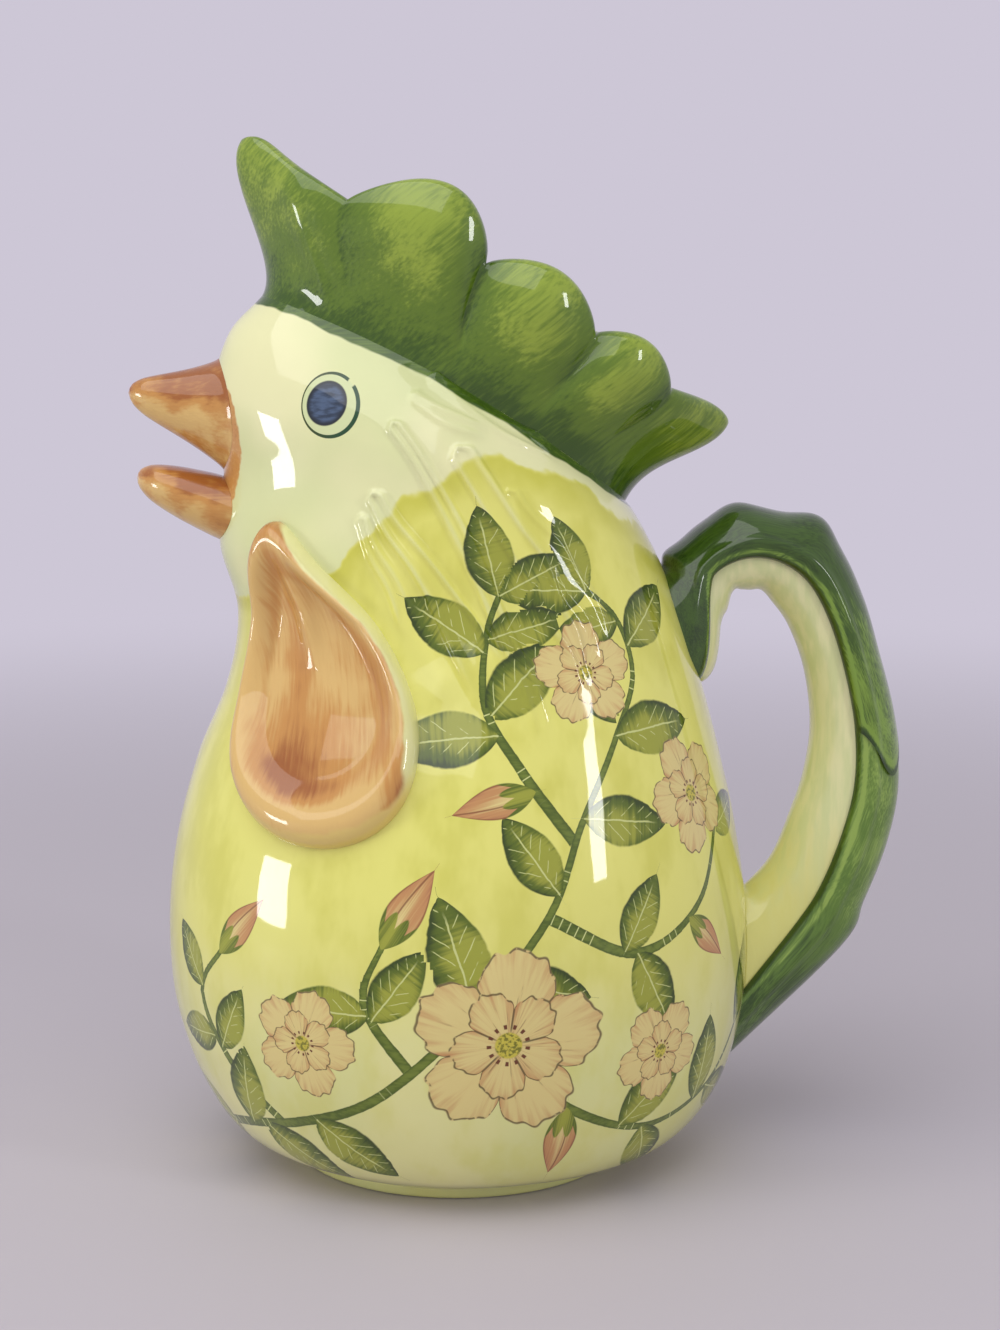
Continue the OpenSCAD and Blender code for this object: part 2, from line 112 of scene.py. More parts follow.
def skin(u, s, inset=0.0):
    """The wall: at row s a tilted ellipse between its foremost and hindmost points, narrower in
    front, with its sides lifted. u is the angle from the breast round the left side to the back."""
    u, s, inset = np.broadcast_arrays(u, s, inset)
    r = through(wall_rows, s)
    none = np.zeros_like(u, float)
    front = np.stack([r[..., 0], none, r[..., 1]], -1)
    back = np.stack([r[..., 2], none, r[..., 3]], -1)
    ahead = unit(front - back)
    up = np.stack([ahead[..., 2], none, -ahead[..., 0]], -1)
    half_length = np.linalg.norm(front - back, axis=-1) / 2 - inset
    side = (r[..., 4] - inset) * np.sin(u) * (1 - r[..., 5] * np.cos(u))
    point = (front + back) / 2 + ahead * (half_length * np.cos(u))[..., None]
    point += up * (r[..., 6] * np.sin(u) ** 2)[..., None]
    point[..., 1] -= side
    return point


turn_step, row_step = 0.02, 0.25


def skin_normal(u, s):
    """Outward direction of the wall: the cross product of its slopes round and up."""
    around = skin(u + turn_step, s) - skin(u - turn_step, s)
    upward = skin(u, np.minimum(s + turn_step, top)) - skin(u, np.maximum(s - turn_step, 0))
    return unit(np.cross(around, upward))


def on_skin(u, s, p=0.0, q=0.0, out=0.0):
    """The point p round and q up from (u, s) in metres, raised by out along the wall's normal."""
    wide = np.linalg.norm(skin(u + turn_step, s) - skin(u - turn_step, s), axis=-1) / (2 * turn_step)
    tall = np.linalg.norm(skin(u, s + row_step) - skin(u, s - row_step), axis=-1) / (2 * row_step)
    at_u, at_s, out = np.broadcast_arrays(u + p / wide, s + q / tall, out)
    return skin(at_u, at_s) + skin_normal(at_u, at_s) * out[..., None]


def ring_mesh(name, rings, first=None, last=None, hard=()):
    """A mesh of closed rings joined by quads, ended by fans to two poles, or else the last ring
    joins the first. The rings whose numbers are in hard keep a crisp edge."""
    m, n = rings.shape[:2]
    index = np.arange(m * n).reshape(m, n)
    if first is None:
        index = np.vstack([index, index[:1]])
    low, high = index[:-1], index[1:]
    quads = np.stack([low, np.roll(low, -1, 1), np.roll(high, -1, 1), high], -1).reshape(-1, 4)
    points = rings.reshape(-1, 3)
    tris = np.zeros((0, 3), int)
    if first is not None:
        points = np.vstack([points, first, last])
        a, b = index[0], index[-1]
        tris = np.vstack([
            np.stack([np.full(n, m * n), np.roll(a, -1), a], -1),
            np.stack([np.full(n, m * n + 1), b, np.roll(b, -1)], -1)])
    mesh = bpy.data.meshes.new(name)
    corners = np.concatenate([quads.ravel(), tris.ravel()])
    totals = np.concatenate([np.full(len(quads), 4), np.full(len(tris), 3)])
    mesh.vertices.add(len(points))
    mesh.vertices.foreach_set("co", points.ravel())
    mesh.loops.add(len(corners))
    mesh.loops.foreach_set("vertex_index", corners)
    mesh.polygons.add(len(totals))
    mesh.polygons.foreach_set("loop_start", np.cumsum(totals) - totals)
    mesh.update(calc_edges=True)
    mesh.polygons.foreach_set("use_smooth", np.ones(len(totals), bool))
    ends = np.zeros(len(mesh.edges) * 2, np.int32)
    mesh.edges.foreach_get("vertices", ends)
    ring = (ends // n).reshape(-1, 2)
    crisp = (ring[:, 0] == ring[:, 1]) & np.isin(ring[:, 0], list(hard))
    mesh.attributes.new("sharp_edge", "BOOLEAN", "EDGE").data.foreach_set("value", crisp)
    return mesh


def store(mesh, name, *channels, domain="POINT"):
    """Keeps one number or three for each point of a mesh, or each corner; those that the arrays
    leave out, such as its poles, repeat the last value."""
    values = np.stack([np.ravel(channel) for channel in channels], -1)
    count = len(mesh.vertices) if domain == "POINT" else len(mesh.loops)
    values = np.vstack([values, np.repeat(values[-1:], count - len(values), 0)])
    kind, field = ("FLOAT", "value") if len(channels) == 1 else ("FLOAT_VECTOR", "vector")
    mesh.attributes.new(name, kind, domain).data.foreach_set(field, values.ravel())


hackle_h, hackle_ridge_w, hackle_pad_h = 1.5 * mm, 0.9 * mm, 0.45 * mm
glaze_wave = 0.05 * mm
hackles = [
    dict(tip=(-24, 187), end=(7.5, 138), halves=(1.7, 3.1, 4.9), bend=-0.9, strength=1),
    dict(tip=(-18, 205.5), end=(19, 128), halves=(1.3, 1.2, 1.6), bend=-2.8, strength=1),
    dict(tip=(-1.5, 199), end=(31, 140), halves=(2.4, 3.5, 1.6), bend=-1.5, strength=1),
    dict(tip=(-27, 181), end=(-14, 153), halves=(0.9, 1.4, 1.8), bend=0, strength=0.8),
    dict(tip=(-13, 212.5), end=(6, 202), halves=(0.8, 1.2, 1.2), bend=0.8, strength=0.6),
    dict(tip=(-8, 217), end=(25, 197), halves=(0.8, 1.5, 2.2), bend=1.8, strength=0.7),
    dict(tip=(11, 188), end=(38, 146), halves=(1.5, 2.6, 2.0), bend=-1.5, strength=0.45)]


def hackle(x, z, tip, end, halves, bend, strength):
    """Height of one neck feather seen from the side, its places in mm: an inverted U, a thin ridge
    along its outline with a shallow pad between, that fades towards its lower end."""
    tip, end, halves = np.array(tip) * mm, np.array(end) * mm, np.array(halves) * mm
    whole = np.linalg.norm(end - tip)
    way = (end - tip) / whole
    run = (x - tip[0]) * way[0] + (z - tip[1]) * way[1]
    a = run / whole
    b = (x - tip[0]) * way[1] - (z - tip[1]) * way[0] - bend * mm * np.sin(np.pi * np.clip(a, 0, 1))
    b = b + 0.5 * mm * np.sin(z / (4.6 * mm) + 3 * np.sin(x / (9 * mm)))
    wide = np.interp(a, [0.1, 0.5, 0.9], halves)
    tip_share = np.clip(run / wide, 0.0001, 1)
    half = wide * np.sqrt(tip_share * (2 - tip_share))
    shade = strength * smooth((1.05 - a) / 0.3) * smooth((run + 1.3 * mm) / (1.2 * mm))
    line = bell((np.abs(b) - half) / hackle_ridge_w)
    pad = smooth((half - np.abs(b)) / hackle_ridge_w / 2)
    return shade * (hackle_h * line + hackle_pad_h * pad)


def all_hackles(x, z):
    """Height of the neck feathers, of which the highest shows at each place."""
    return np.max([np.zeros_like(x)] + [hackle(x, z, **one) for one in hackles], axis=0)


def wall_surface(u, s):
    """The glazed outside: the wall with the neck feathers raised on its flanks, and the slight
    waves that thick glaze settles in."""
    point = skin(u, s)
    x, y, z = np.moveaxis(point / mm, -1, 0)
    flank = smooth((np.abs(np.sin(u)) - 0.35) / 0.3)
    waves = glaze_wave * np.sin(z / 5.3 + 1.7 * np.sin(x / 8.1 + 1))
    waves = waves * np.sin((x - y) / 6.7 + np.sin(z / 9.2))
    height = all_hackles(point[..., 0], point[..., 2]) * flank + waves
    return point + skin_normal(u, s) * (height * smooth(s / 0.6))[..., None]


half_turn = np.radians(np.interp(np.arange(190), [0, 32, 162, 189], [0, 58, 128, 180]))
spin = np.concatenate([half_turn, 2 * np.pi - half_turn[-2:0:-1]])
wall_around = len(spin)
side_rows = np.linspace(1, top - 0.04, 500)
side_heights = skin(np.pi / 2, side_rows)[..., 2]
even_heights = np.interp(np.arange(195), [0, 68, 194], [side_heights[0], 136 * mm, side_heights[-1]])
outer_rows = np.concatenate([
    np.linspace(0, 1, 14)[:-1], np.interp(even_heights, side_heights, side_rows), [top - 0.015, top]])
outer = wall_surface(*np.meshgrid(spin, outer_rows))
floor_row = 0.7
inner_u, inner_s = np.meshgrid(spin, np.linspace(top, floor_row, 17))
inner = skin(inner_u, inner_s, wall)
inner_low = skin(0.0, floor_row)[2]
inner[..., 2] += np.maximum((foot_h + floor_t - inner_low) * (1 - inner_s), 0)
body_mesh = ring_mesh(
    "body", np.concatenate([outer, inner]), [0, 0, foot_h], [0, 0, foot_h + floor_t],
    hard=[0, len(outer) - 1, len(outer)])


def painted_frame(origin, normal, along, size):
    """A painted motif's place: its origin and its two axes, divided by its size, in the plane
    that touches the wall there."""
    along = unit(along - normal * np.dot(along, normal))
    return np.array([origin, along / size, np.cross(normal, along) / size])


def turned(way, normal, degrees):
    """The way turned to the left by degrees, in the plane square to the normal."""
    turn = np.radians(degrees)
    return way * np.cos(turn) + np.cross(normal, way) * np.sin(turn)


def stem(places, steps):
    """Points and outward directions of a painted stem through places, each an angle in degrees
    round the wall and a row."""
    path = through(np.array(places, float), np.linspace(0, len(places) - 1, steps))
    u, s = np.radians(path[:, 0]), path[:, 1]
    return skin(u, s), skin_normal(u, s)


def growth(path, share, turn, length):
    """Frame of a leaf or bud that grows from a stem at a share of its way, turned in degrees
    from the way it runs, to its left if positive."""
    points, normals = path
    i = int(share * (len(points) - 2))
    normal = normals[i]
    way = unit(points[i + 1] - points[i])
    way = unit(way - normal * np.dot(way, normal))
    return painted_frame(points[i], normal, turned(way, normal, turn), length * mm)


def local(frames, points):
    """The places of points, one for each frame, in the frames' own two axes."""
    away = points - frames[..., 0, :]
    return (away * frames[..., 1, :]).sum(-1), (away * frames[..., 2, :]).sum(-1)


paint_depth = 14 * mm
far_away = 99.0


def paint_layer(name, frames, far, starts=0, thirds=None):
    """Gives each face of the wall's outside to the motif that is least far by the measure far(x, y),
    which is one at a motif's border. The face's corners keep their place (x, y) in that motif's
    frame, x from its start, and its third number, or else its place in the list. Faces outside all
    motifs are moved far away. The right side of the wall mirrors the left."""
    frames = np.array(frames)
    starts = np.broadcast_to(starts, len(frames))
    thirds = np.arange(len(frames)) if thirds is None else np.array(thirds)
    corner_index = np.zeros(len(body_mesh.loops), np.int32)
    body_mesh.loops.foreach_get("vertex_index", corner_index)
    outside = (len(outer) - 1) * wall_around
    corners = outer.reshape(-1, 3)[corner_index[:outside * 4]].reshape(-1, 4, 3)
    corners[..., 1] *= -np.sign(corners[..., 1].mean(1))[:, None]
    middles = corners.mean(1)
    nearest = np.zeros(outside, int)
    least = np.full(outside, np.inf)
    for number, one in enumerate(frames):
        off_plane = np.abs((middles - one[0]) @ unit(np.cross(one[1], one[2])))
        measure = np.where(off_plane < paint_depth, far(*local(one, middles)), np.inf)
        nearer = measure < least
        least[nearer] = measure[nearer]
        nearest[nearer] = number
    x, y = local(frames[nearest][:, None], corners)
    away = far_away * (least > 1)[:, None]
    third = np.broadcast_to(thirds[nearest][:, None], x.shape)
    store(body_mesh, name, x + starts[nearest][:, None] + away, y + away, third, domain="CORNER")


def srgb(code):
    """A six-figure colour code as linear red, green, blue and alpha."""
    values = np.array([int(code[i:i + 2], 16) for i in (1, 3, 5)]) / 255
    linear = np.where(values <= 0.04045, values / 12.92, ((values + 0.055) / 1.055) ** 2.4)
    return (*linear.tolist(), 1.0)


class Value:
    """A number, vector or colour in a shader. Each sum that is done with it adds a node."""

    def __init__(self, socket):
        self.socket = socket
        self.tree = socket.id_data

    def feed(self, entry):
        """Links the value to a node's input."""
        self.tree.links.new(self.socket, entry)

    def __add__(self, other):
        return calc("ADD", self, other)

    def __sub__(self, other):
        return calc("SUBTRACT", self, other)

    def __rsub__(self, other):
        return calc("SUBTRACT", other, self)

    def __mul__(self, other):
        return calc("MULTIPLY", self, other)

    def __truediv__(self, other):
        return calc("DIVIDE", self, other)

    def __pow__(self, other):
        return calc("POWER", self, other)

    def __abs__(self):
        return calc("ABSOLUTE", self)


def add_node(tree, kind, inputs, output=0, **settings):
    """Adds a shader node; each input, by name or number, is linked to a value or set to a number."""
    made = tree.nodes.new("ShaderNode" + kind)
    for setting, value in settings.items():
        setattr(made, setting, value)
    for key, value in (inputs if isinstance(inputs, dict) else dict(enumerate(inputs))).items():
        if isinstance(value, Value):
            value.feed(made.inputs[key])
        else:
            made.inputs[key].default_value = value
    return Value(made.outputs[output])


def calc(operation, *terms, clamp=False):
    """A math node; at least one of its terms is a value."""
    tree = next(term.tree for term in terms if isinstance(term, Value))
    return add_node(tree, "Math", terms, operation=operation, use_clamp=clamp)


def blend(share, first, second):
    """The colour at that share of the way from first to second."""
    return add_node(share.tree, "Mix", {0: share, 6: first, 7: second}, output=2, data_type="RGBA")


def band(value, low, high):
    """Zero at low, one at high and a smooth step between, also where high is the lesser."""
    return add_node(value.tree, "MapRange", [value, low, high], interpolation_type="SMOOTHSTEP")


def mark(tree, name, output="Fac"):
    """A number, or a "Vector", that the mesh keeps under the name."""
    return add_node(tree, "Attribute", {}, output=output, attribute_name=name)


def split(vector):
    """The three parts of a vector."""
    return [add_node(vector.tree, "SeparateXYZ", [vector], output=part) for part in range(3)]


def join(x, y, z=0.0):
    """A vector of three parts."""
    return add_node(x.tree, "CombineXYZ", [x, y, z])


def length(vector):
    """How long a vector is."""
    return add_node(vector.tree, "VectorMath", [vector], output="Value", operation="LENGTH")


def cloud(vector, scale, detail=2.0):
    """Noise about 0.5 that changes over a length of 1 / scale."""
    return add_node(vector.tree, "TexNoise", {"Vector": vector, "Scale": scale, "Detail": detail})


def stretch(vector, scale, turn=(0, 0, 0)):
    """The vector turned and then scaled, which draws a noise out into strokes."""
    return add_node(vector.tree, "Mapping", {"Vector": vector, "Rotation": turn, "Scale": scale})


def in_mm(tree):
    """The place on the object in millimetres."""
    return stretch(add_node(tree, "TexCoord", {}, output="Object"), (1000, 1000, 1000))


def glazed(name, paint):
    """A material of painted earthenware under clear glaze: paint(tree) gives its colour and its
    ripple in brush marks, and the glaze adds slow waves of its own."""
    mat = bpy.data.materials.new(name)
    mat.use_nodes = True
    tree = mat.node_tree
    shader = tree.nodes["Principled BSDF"]
    colour, ripple = paint(tree)
    waves = cloud(in_mm(tree), 0.06) * 3.0 + ripple
    bump = add_node(tree, "Bump", {"Strength": 1.0, "Distance": 0.00012, "Height": waves})
    colour.feed(shader.inputs["Base Color"])
    bump.feed(shader.inputs["Normal"])
    shader.inputs["Roughness"].default_value = 0.35
    shader.inputs["Specular IOR Level"].default_value = 0.1
    shader.inputs["Coat Weight"].default_value = 1.0
    shader.inputs["Coat Roughness"].default_value = 0.04
    return mat


brushed = bpy.data.node_groups.new("brushed_colour", "ShaderNodeTree")
for label, way, kind in [
        ("Place", "INPUT", "Vector"), ("Shade", "INPUT", "Float"), ("Light", "INPUT", "Color"),
        ("Mid", "INPUT", "Color"), ("Dark", "INPUT", "Color"), ("Streaks", "INPUT", "Float"),
        ("Colour", "OUTPUT", "Color"), ("Ripple", "OUTPUT", "Float")]:
    brushed.interface.new_socket(label, in_out=way, socket_type="NodeSocket" + kind)
given = {entry.name: Value(entry) for entry in brushed.nodes.new("NodeGroupInput").outputs}
streaks = cloud(stretch(given["Place"], (0.07, 1, 1)), 1.3, 4.0)
patches = cloud(stretch(given["Place"], (0.5, 1, 1)), 0.13)
tone = (streaks - 0.5) * given["Streaks"] + given["Shade"] + (patches - 0.5) * 0.7
lighter = blend(band(tone, 0.0, 0.5), given["Light"], given["Mid"])
results = brushed.nodes.new("NodeGroupOutput").inputs
blend(band(tone, 0.5, 1.0), lighter, given["Dark"]).feed(results["Colour"])
streaks.feed(results["Ripple"])


def brush_on(place, shade, light, mid, dark, streaks=0.85):
    """Colour and ripple of a colour brushed on in strokes along the place's x, which is in mm.
    It is light where the shade is 0 and dark where it is 1."""
    inputs = {"Place": place, "Shade": shade, "Light": light, "Mid": mid, "Dark": dark, "Streaks": streaks}
    colour = add_node(place.tree, "Group", inputs, node_tree=brushed)
    return colour, Value(colour.socket.node.outputs["Ripple"])


amber = dict(light=srgb("#dfb972"), mid=srgb("#cb924c"), dark=srgb("#a2602a"))
comb_green = dict(light=srgb("#95aa38"), mid=srgb("#617d1c"), dark=srgb("#395706"))
cream, shaded_cream = srgb("#eeecb6"), srgb("#dde2a6")
yellow, deep_yellow, low_yellow = srgb("#e9e67a"), srgb("#cdca4c"), srgb("#dfdb84")
vine_green = dict(light=srgb("#74842b"), mid=srgb("#506314"), dark=srgb("#34460c"))
leaf_green = dict(light=srgb("#a0a438"), mid=srgb("#5a6c14"), dark=srgb("#334508"))
scratch, petal, petal_rose, ink = srgb("#d3d98c"), srgb("#e2cf88"), srgb("#c7925c"), srgb("#4b4420")
bud_red, bud_ink, heart_yellow, heart_green, dot_brown = [
    srgb(code) for code in ("#ad6c4e", "#7c4526", "#cdbf45", "#7d7a22", "#6b3a1c")]
eye_pale, iris_dark, iris_blue, iris_rim, ring_front, ring_back = [
    srgb(code) for code in ("#d6dfa8", "#2c3a4c", "#4d607c", "#1f2830", "#3a4a1a", "#1f4a2a")]


wash_x, wash_top, wash_drop, wash_low, wash_full = [mm * place for place in (6, 198, 38, 45, 95)]
front_drop, back_drop, least_wash = 60 * mm, 80 * mm, 0.45


def wash_amount(x, z):
    """Millimetres below the line where the yellow starts, which is highest at wash_x, and how much
    of it the wall carries there: all on the upper belly, and half towards the base."""
    line = wash_top - wash_drop * smooth(np.abs(x - wash_x) / np.where(x < wash_x, front_drop, back_drop))
    return (line - z) / mm, least_wash + (1 - least_wash) * smooth((z - wash_low) / (wash_full - wash_low))


full_wall = np.concatenate([outer, inner])
wall_x, _, wall_z = np.moveaxis(full_wall, -1, 0)
is_outside = np.concatenate([np.ones(outer.shape[:2]), np.zeros(inner.shape[:2])])
below_line, wash = wash_amount(wall_x, wall_z)
store(body_mesh, "wash", wash * is_outside)
store(body_mesh, "wash_line", below_line)
store(body_mesh, "crown", (skin(*np.meshgrid(spin, [top]))[..., 2] - wall_z) / mm)
store(body_mesh, "ridge", all_hackles(wall_x, wall_z) / hackle_h * is_outside)
store(body_mesh, "outside", is_outside)

stems = [
    stem([(24, 1.5), (38, 1.75), (52, 2.0), (70, 2.5), (88, 3.5), (104, 4.6), (112, 5.6), (122, 6.5),
          (131, 7.3), (130, 8.1), (121, 8.7)], 110),
    stem([(92, 3.3), (108, 2.4), (128, 1.9), (147, 2.2), (160, 3.0)], 50),
    stem([(104, 4.6), (122, 4.1), (140, 4.5), (152, 5.4)], 40),
    stem([(110, 5.4), (100, 6.2), (92, 7.0), (94, 7.9), (101, 8.6)], 45),
    stem([(48, 1.9), (36, 2.7), (30, 3.5), (38, 4.1)], 40),
    stem([(78, 2.9), (70, 3.7), (74, 4.4)], 28)]
stem_spacing, stem_segment, stem_reach = 300, 3.2, 3.4
stem_half, stem_thinning, scratches_per_mm = 1.55, 0.75, 0.42
for layer, numbers in [("side_vine", range(1, len(stems))), ("main_vine", [0])]:
    vine_frames, vine_starts, vine_halves = [], [], []
    for number in numbers:
        points, normals = stems[number]
        ways = np.diff(points, axis=0)
        arcs = np.concatenate([[0], np.cumsum(np.linalg.norm(ways, axis=1))])
        middles = (points[:-1] + points[1:]) / 2
        vine_frames += [painted_frame(*place, mm) for place in zip(middles, normals[:-1], ways)]
        vine_starts += ((arcs[:-1] + arcs[1:]) / 2 / mm + stem_spacing * number).tolist()
        vine_halves += (stem_half - stem_thinning * smooth(arcs[:-1] / arcs[-1] / 0.9)).tolist()
    paint_layer(
        layer, vine_frames,
        lambda x, y: np.hypot(np.maximum(np.abs(x) - stem_segment / 2, 0), y) / stem_reach,
        vine_starts, vine_halves)

leaf_places = [
    (0, 0.02, 150, 27), (0, 0.02, -150, 25), (0, 0.10, 62, 25), (0, 0.13, -58, 27), (0, 0.24, -64, 26),
    (0, 0.42, 60, 30), (0, 0.45, -62, 24), (0, 0.53, 58, 24), (0, 0.62, -66, 25), (0, 0.72, -50, 27),
    (0, 0.74, 66, 23), (0, 0.86, -58, 25), (0, 0.99, 30, 23), (0, 0.99, -38, 21), (0, 0.90, 70, 20),
    (1, 0.42, 64, 27), (1, 0.50, -60, 24), (1, 0.72, 66, 24), (1, 0.78, -54, 23), (1, 0.99, 20, 26),
    (2, 0.30, 70, 22), (2, 0.36, -62, 25), (2, 0.99, 48, 22), (2, 0.99, -40, 22),
    (3, 0.40, 64, 28), (3, 0.47, -60, 27), (3, 0.70, 62, 25), (3, 0.75, -64, 22), (3, 0.99, 32, 24),
    (3, 0.99, -42, 22), (4, 0.45, 64, 21), (4, 0.40, -66, 21), (4, 0.72, 60, 20), (5, 0.40, -64, 23),
    (5, 0.45, 66, 25)]
bud_places = [(4, 0.99, 0, 22), (5, 0.99, -10, 24), (3, 0.20, 70, 22), (1, 0.25, -62, 22), (2, 0.62, -72, 20)]
leaf_middle, leaf_reach, blossom_reach = 0.48, 0.62, 1.16
for layer, places, half_width in [("leaf", leaf_places, 0.36), ("bud", bud_places, 0.3)]:
    paint_layer(
        layer, [growth(stems[number], *place) for number, *place in places],
        lambda x, y: np.maximum(np.abs(x - leaf_middle) / leaf_reach, np.abs(y) / half_width))

blossom_places = [
    (96, 3.25, 25, 10), (143, 5.75, 16, 40), (57, 3.15, 15, 70), (117, 7.35, 14, 20), (128, 2.95, 14, 55)]
blossom_frames = []
for degrees, row, radius, turn in blossom_places:
    at = (np.radians(degrees), float(row))
    normal = skin_normal(*at)
    level = unit(np.cross([0, 0, 1], normal))
    blossom_frames.append(painted_frame(skin(*at), normal, turned(level, normal, turn), radius * mm))
paint_layer("blossom", blossom_frames, lambda x, y: np.hypot(x, y) / blossom_reach)


def add_vines(paint, place, layer):
    """Stems: darker at both edges, with groups of fine cross scratches through the green. A stem
    starts where its own way along is zero."""
    arc, offset, half = split(mark(place.tree, layer, "Vector"))
    begun = calc("FRACT", arc * (1 / stem_spacing) + 0.1) * stem_spacing - 0.1 * stem_spacing
    side = abs(offset) / half
    green, _ = brush_on(place, side ** 3.0 * 0.5 + 0.25, **vine_green)
    tick = abs(calc("FRACT", arc * scratches_per_mm) - 0.5)
    groups = add_node(place.tree, "TexNoise", {"W": arc, "Scale": 0.07}, noise_dimensions="1D")
    ticks = band(tick, 0.085, 0.045) * band(groups, 0.57, 0.6) * band(side, 1.0, 0.8)
    edge = cloud(place, 0.5) * 0.2 + side - 0.1
    return blend(band(edge, 1.06, 0.92) * band(begun, -0.5, 0.3), paint, blend(ticks, green, scratch))


def add_leaves(paint, place):
    """Pointed leaves, half as wide as 0.27 sin(pi x^0.85)^0.8 of their length: pale at the base,
    dark along both edges, with a mid vein and short side veins scratched through the green."""
    along, across, number = split(mark(place.tree, "leaf", "Vector"))
    wobble = (cloud(place, 0.35) - 0.5) * 0.03
    arch = calc("SINE", calc("ADD", along, wobble, clamp=True) ** 0.85 * np.pi)
    off = abs(across + wobble)
    side = off / calc("MAXIMUM", arch ** 0.8 * 0.27, 0.001)
    shade = side ** 2.5 * 0.6 + across * 1.5 + abs(along - 0.36) * 1.1 - 0.08
    strokes = join(along * 4.0 - off * 14.0, along * 24.0, number * 9.0)
    green, ripple = brush_on(strokes, shade, **leaf_green)
    middle = band(off, 0.011, 0.006) * band(along, 0.9, 0.72)
    vein = abs(calc("FRACT", (along - off * 1.1) * 6.5) - 0.5)
    sides = band(vein, 0.055, 0.025) * band(side, 0.82, 0.7) * band(off, 0.03, 0.045)
    sides = sides * band(cloud(place, 0.25), 0.42, 0.5)
    green = blend(calc("MAXIMUM", middle, sides) * 0.9, green, scratch)
    return blend(band(side, 1.03, 0.93), paint, green), ripple


def add_buds(paint, place):
    """Closed buds: a pointed peach petal with fine ink lines, held by green sepals at its foot."""
    along, across, number = split(mark(place.tree, "bud", "Vector"))
    arch = calc("SINE", calc("ADD", along, 0.0, clamp=True) ** 0.8 * np.pi)
    width = calc("MAXIMUM", arch * 0.2, 0.001)
    side = abs(across) / width
    strokes = join(along * 12.0, across * 40.0, number)
    shade = side * 0.35 + along * 0.6 - 0.1
    peach, _ = brush_on(strokes, shade, petal, petal_rose, bud_red)
    lines = calc("MAXIMUM", band(abs(across - width * 0.3), 0.013, 0.006), band(side, 0.86, 0.96))
    peach = blend(lines * 0.75, peach, bud_ink)
    teeth = abs(calc("SINE", side * 4.4)) * 0.16 + 0.26
    green, _ = brush_on(strokes, shade, **leaf_green)
    peach = blend(band(along - teeth, 0.015, -0.015), peach, green)
    return blend(band(side, 1.04, 0.96), paint, peach)


def add_blossoms(paint, place):
    """Open flowers of two rings of five petals. A petal's rim is 0.62 + 0.36 |cos 2.5 a|^0.6 with
    small waves, its colour is combed outwards, and a broken ink line goes round it."""
    x, y, number = split(mark(place.tree, "blossom", "Vector"))
    flat = join(x, y)
    radius = length(flat)
    angle = calc("ARCTAN2", y, x)
    ray_x, ray_y, _ = split(add_node(place.tree, "VectorMath", [flat], operation="NORMALIZE"))
    combed = cloud(join(ray_x * 9.0, ray_y * 9.0, radius * 1.2 + number), 1.6, 3.0)
    waves = calc("SINE", angle * 21.0) * 0.022 + calc("SINE", angle * 34.0) * 0.012
    dash = band(cloud(place, 0.45), 0.36, 0.44)
    for size, turn, rose in [(1.0, 0.0, -0.1), (0.6, np.pi / 5, 0.005)]:
        lobe = abs(calc("COSINE", (angle + turn) * 2.5))
        rim = (lobe ** 0.6 * 0.36 + waves + 0.62) * size
        depth = radius / rim
        crease = lobe * radius
        shade = (combed - 0.5) * 1.6 + depth ** 3.0 * 0.45 + rose + band(crease, 0.28, 0.0) * 0.35
        peach = blend(band(shade, 0.0, 1.0), petal, petal_rose)
        line = band(abs(radius - rim), 0.02, 0.009) * dash
        fold = band(crease, 0.034, 0.016) * band(radius, 0.1, 0.2)
        vein = band(combed, 0.63, 0.67) * band(depth, 0.85, 0.55) * 0.45
        lines = calc("MAXIMUM", line, calc("MAXIMUM", fold, vein)) * band(depth, 1.06, 1.03)
        paint = blend(band(depth, 1.025, 1.0), paint, blend(lines * 0.8, peach, ink))
    heart = blend(band(cloud(place, 1.2), 0.45, 0.6), heart_yellow, heart_green)
    paint = blend(band(radius, 0.15, 0.13), paint, heart)
    dots = band(calc("SINE", angle * 13.0), 0.3, 0.6) * band(abs(radius - 0.2), 0.03, 0.018)
    return blend(dots, paint, dot_brown)


def ellipse(x, z, centre, halves, degrees):
    """Distance from a leaning ellipse's centre, one on its outline, and the place in the ellipse."""
    lean_cos, lean_sin = np.cos(np.radians(degrees)), np.sin(np.radians(degrees))
    dx, dz = x - centre[0], z - centre[1]
    along, across = dx * lean_cos + dz * lean_sin, dz * lean_cos - dx * lean_sin
    spot = join(along / halves[0], across / halves[1])
    return length(spot), spot


eye_centre, eye_halves, eye_lean = (-34.5, 210.0), (7.2, 8.2), -15
iris_centre, iris_halves, iris_lean = (-35.3, 210.4), (5.0, 5.95), -27
amber_centre, amber_halves = (-76.0, 198.0), (17.5, 27.0)


def add_eye(paint, place, x, z):
    """A painted ring, thicker behind than in front, round a blue iris with a darker rim."""
    ring, spot = ellipse(x, z, eye_centre, eye_halves, eye_lean)
    iris, _ = ellipse(x, z, iris_centre, iris_halves, iris_lean)
    a, b, _ = split(spot)
    line = abs(ring - 1.0) / calc("MAXIMUM", a * 0.028 + 0.05, 0.02)
    gap = band(abs(calc("ARCTAN2", b, a) - 1.0), 0.1, 0.16)
    streak = cloud(stretch(place, (0.35, 1, 1.6), (0, 0.7, 0)), 0.5, 3.0)
    blue = blend(band(streak, 0.35, 0.65), iris_dark, iris_blue)
    blue = blend(band(iris, 0.7, 0.95), blue, iris_rim)
    paint = blend(band(ring, 1.02, 0.98), paint, eye_pale)
    paint = blend(band(iris, 1.04, 0.97), paint, blue)
    ring_green = blend(band(a, -0.8, 0.8), ring_front, ring_back)
    return blend(band(line, 1.1, 0.85) * gap, paint, ring_green)


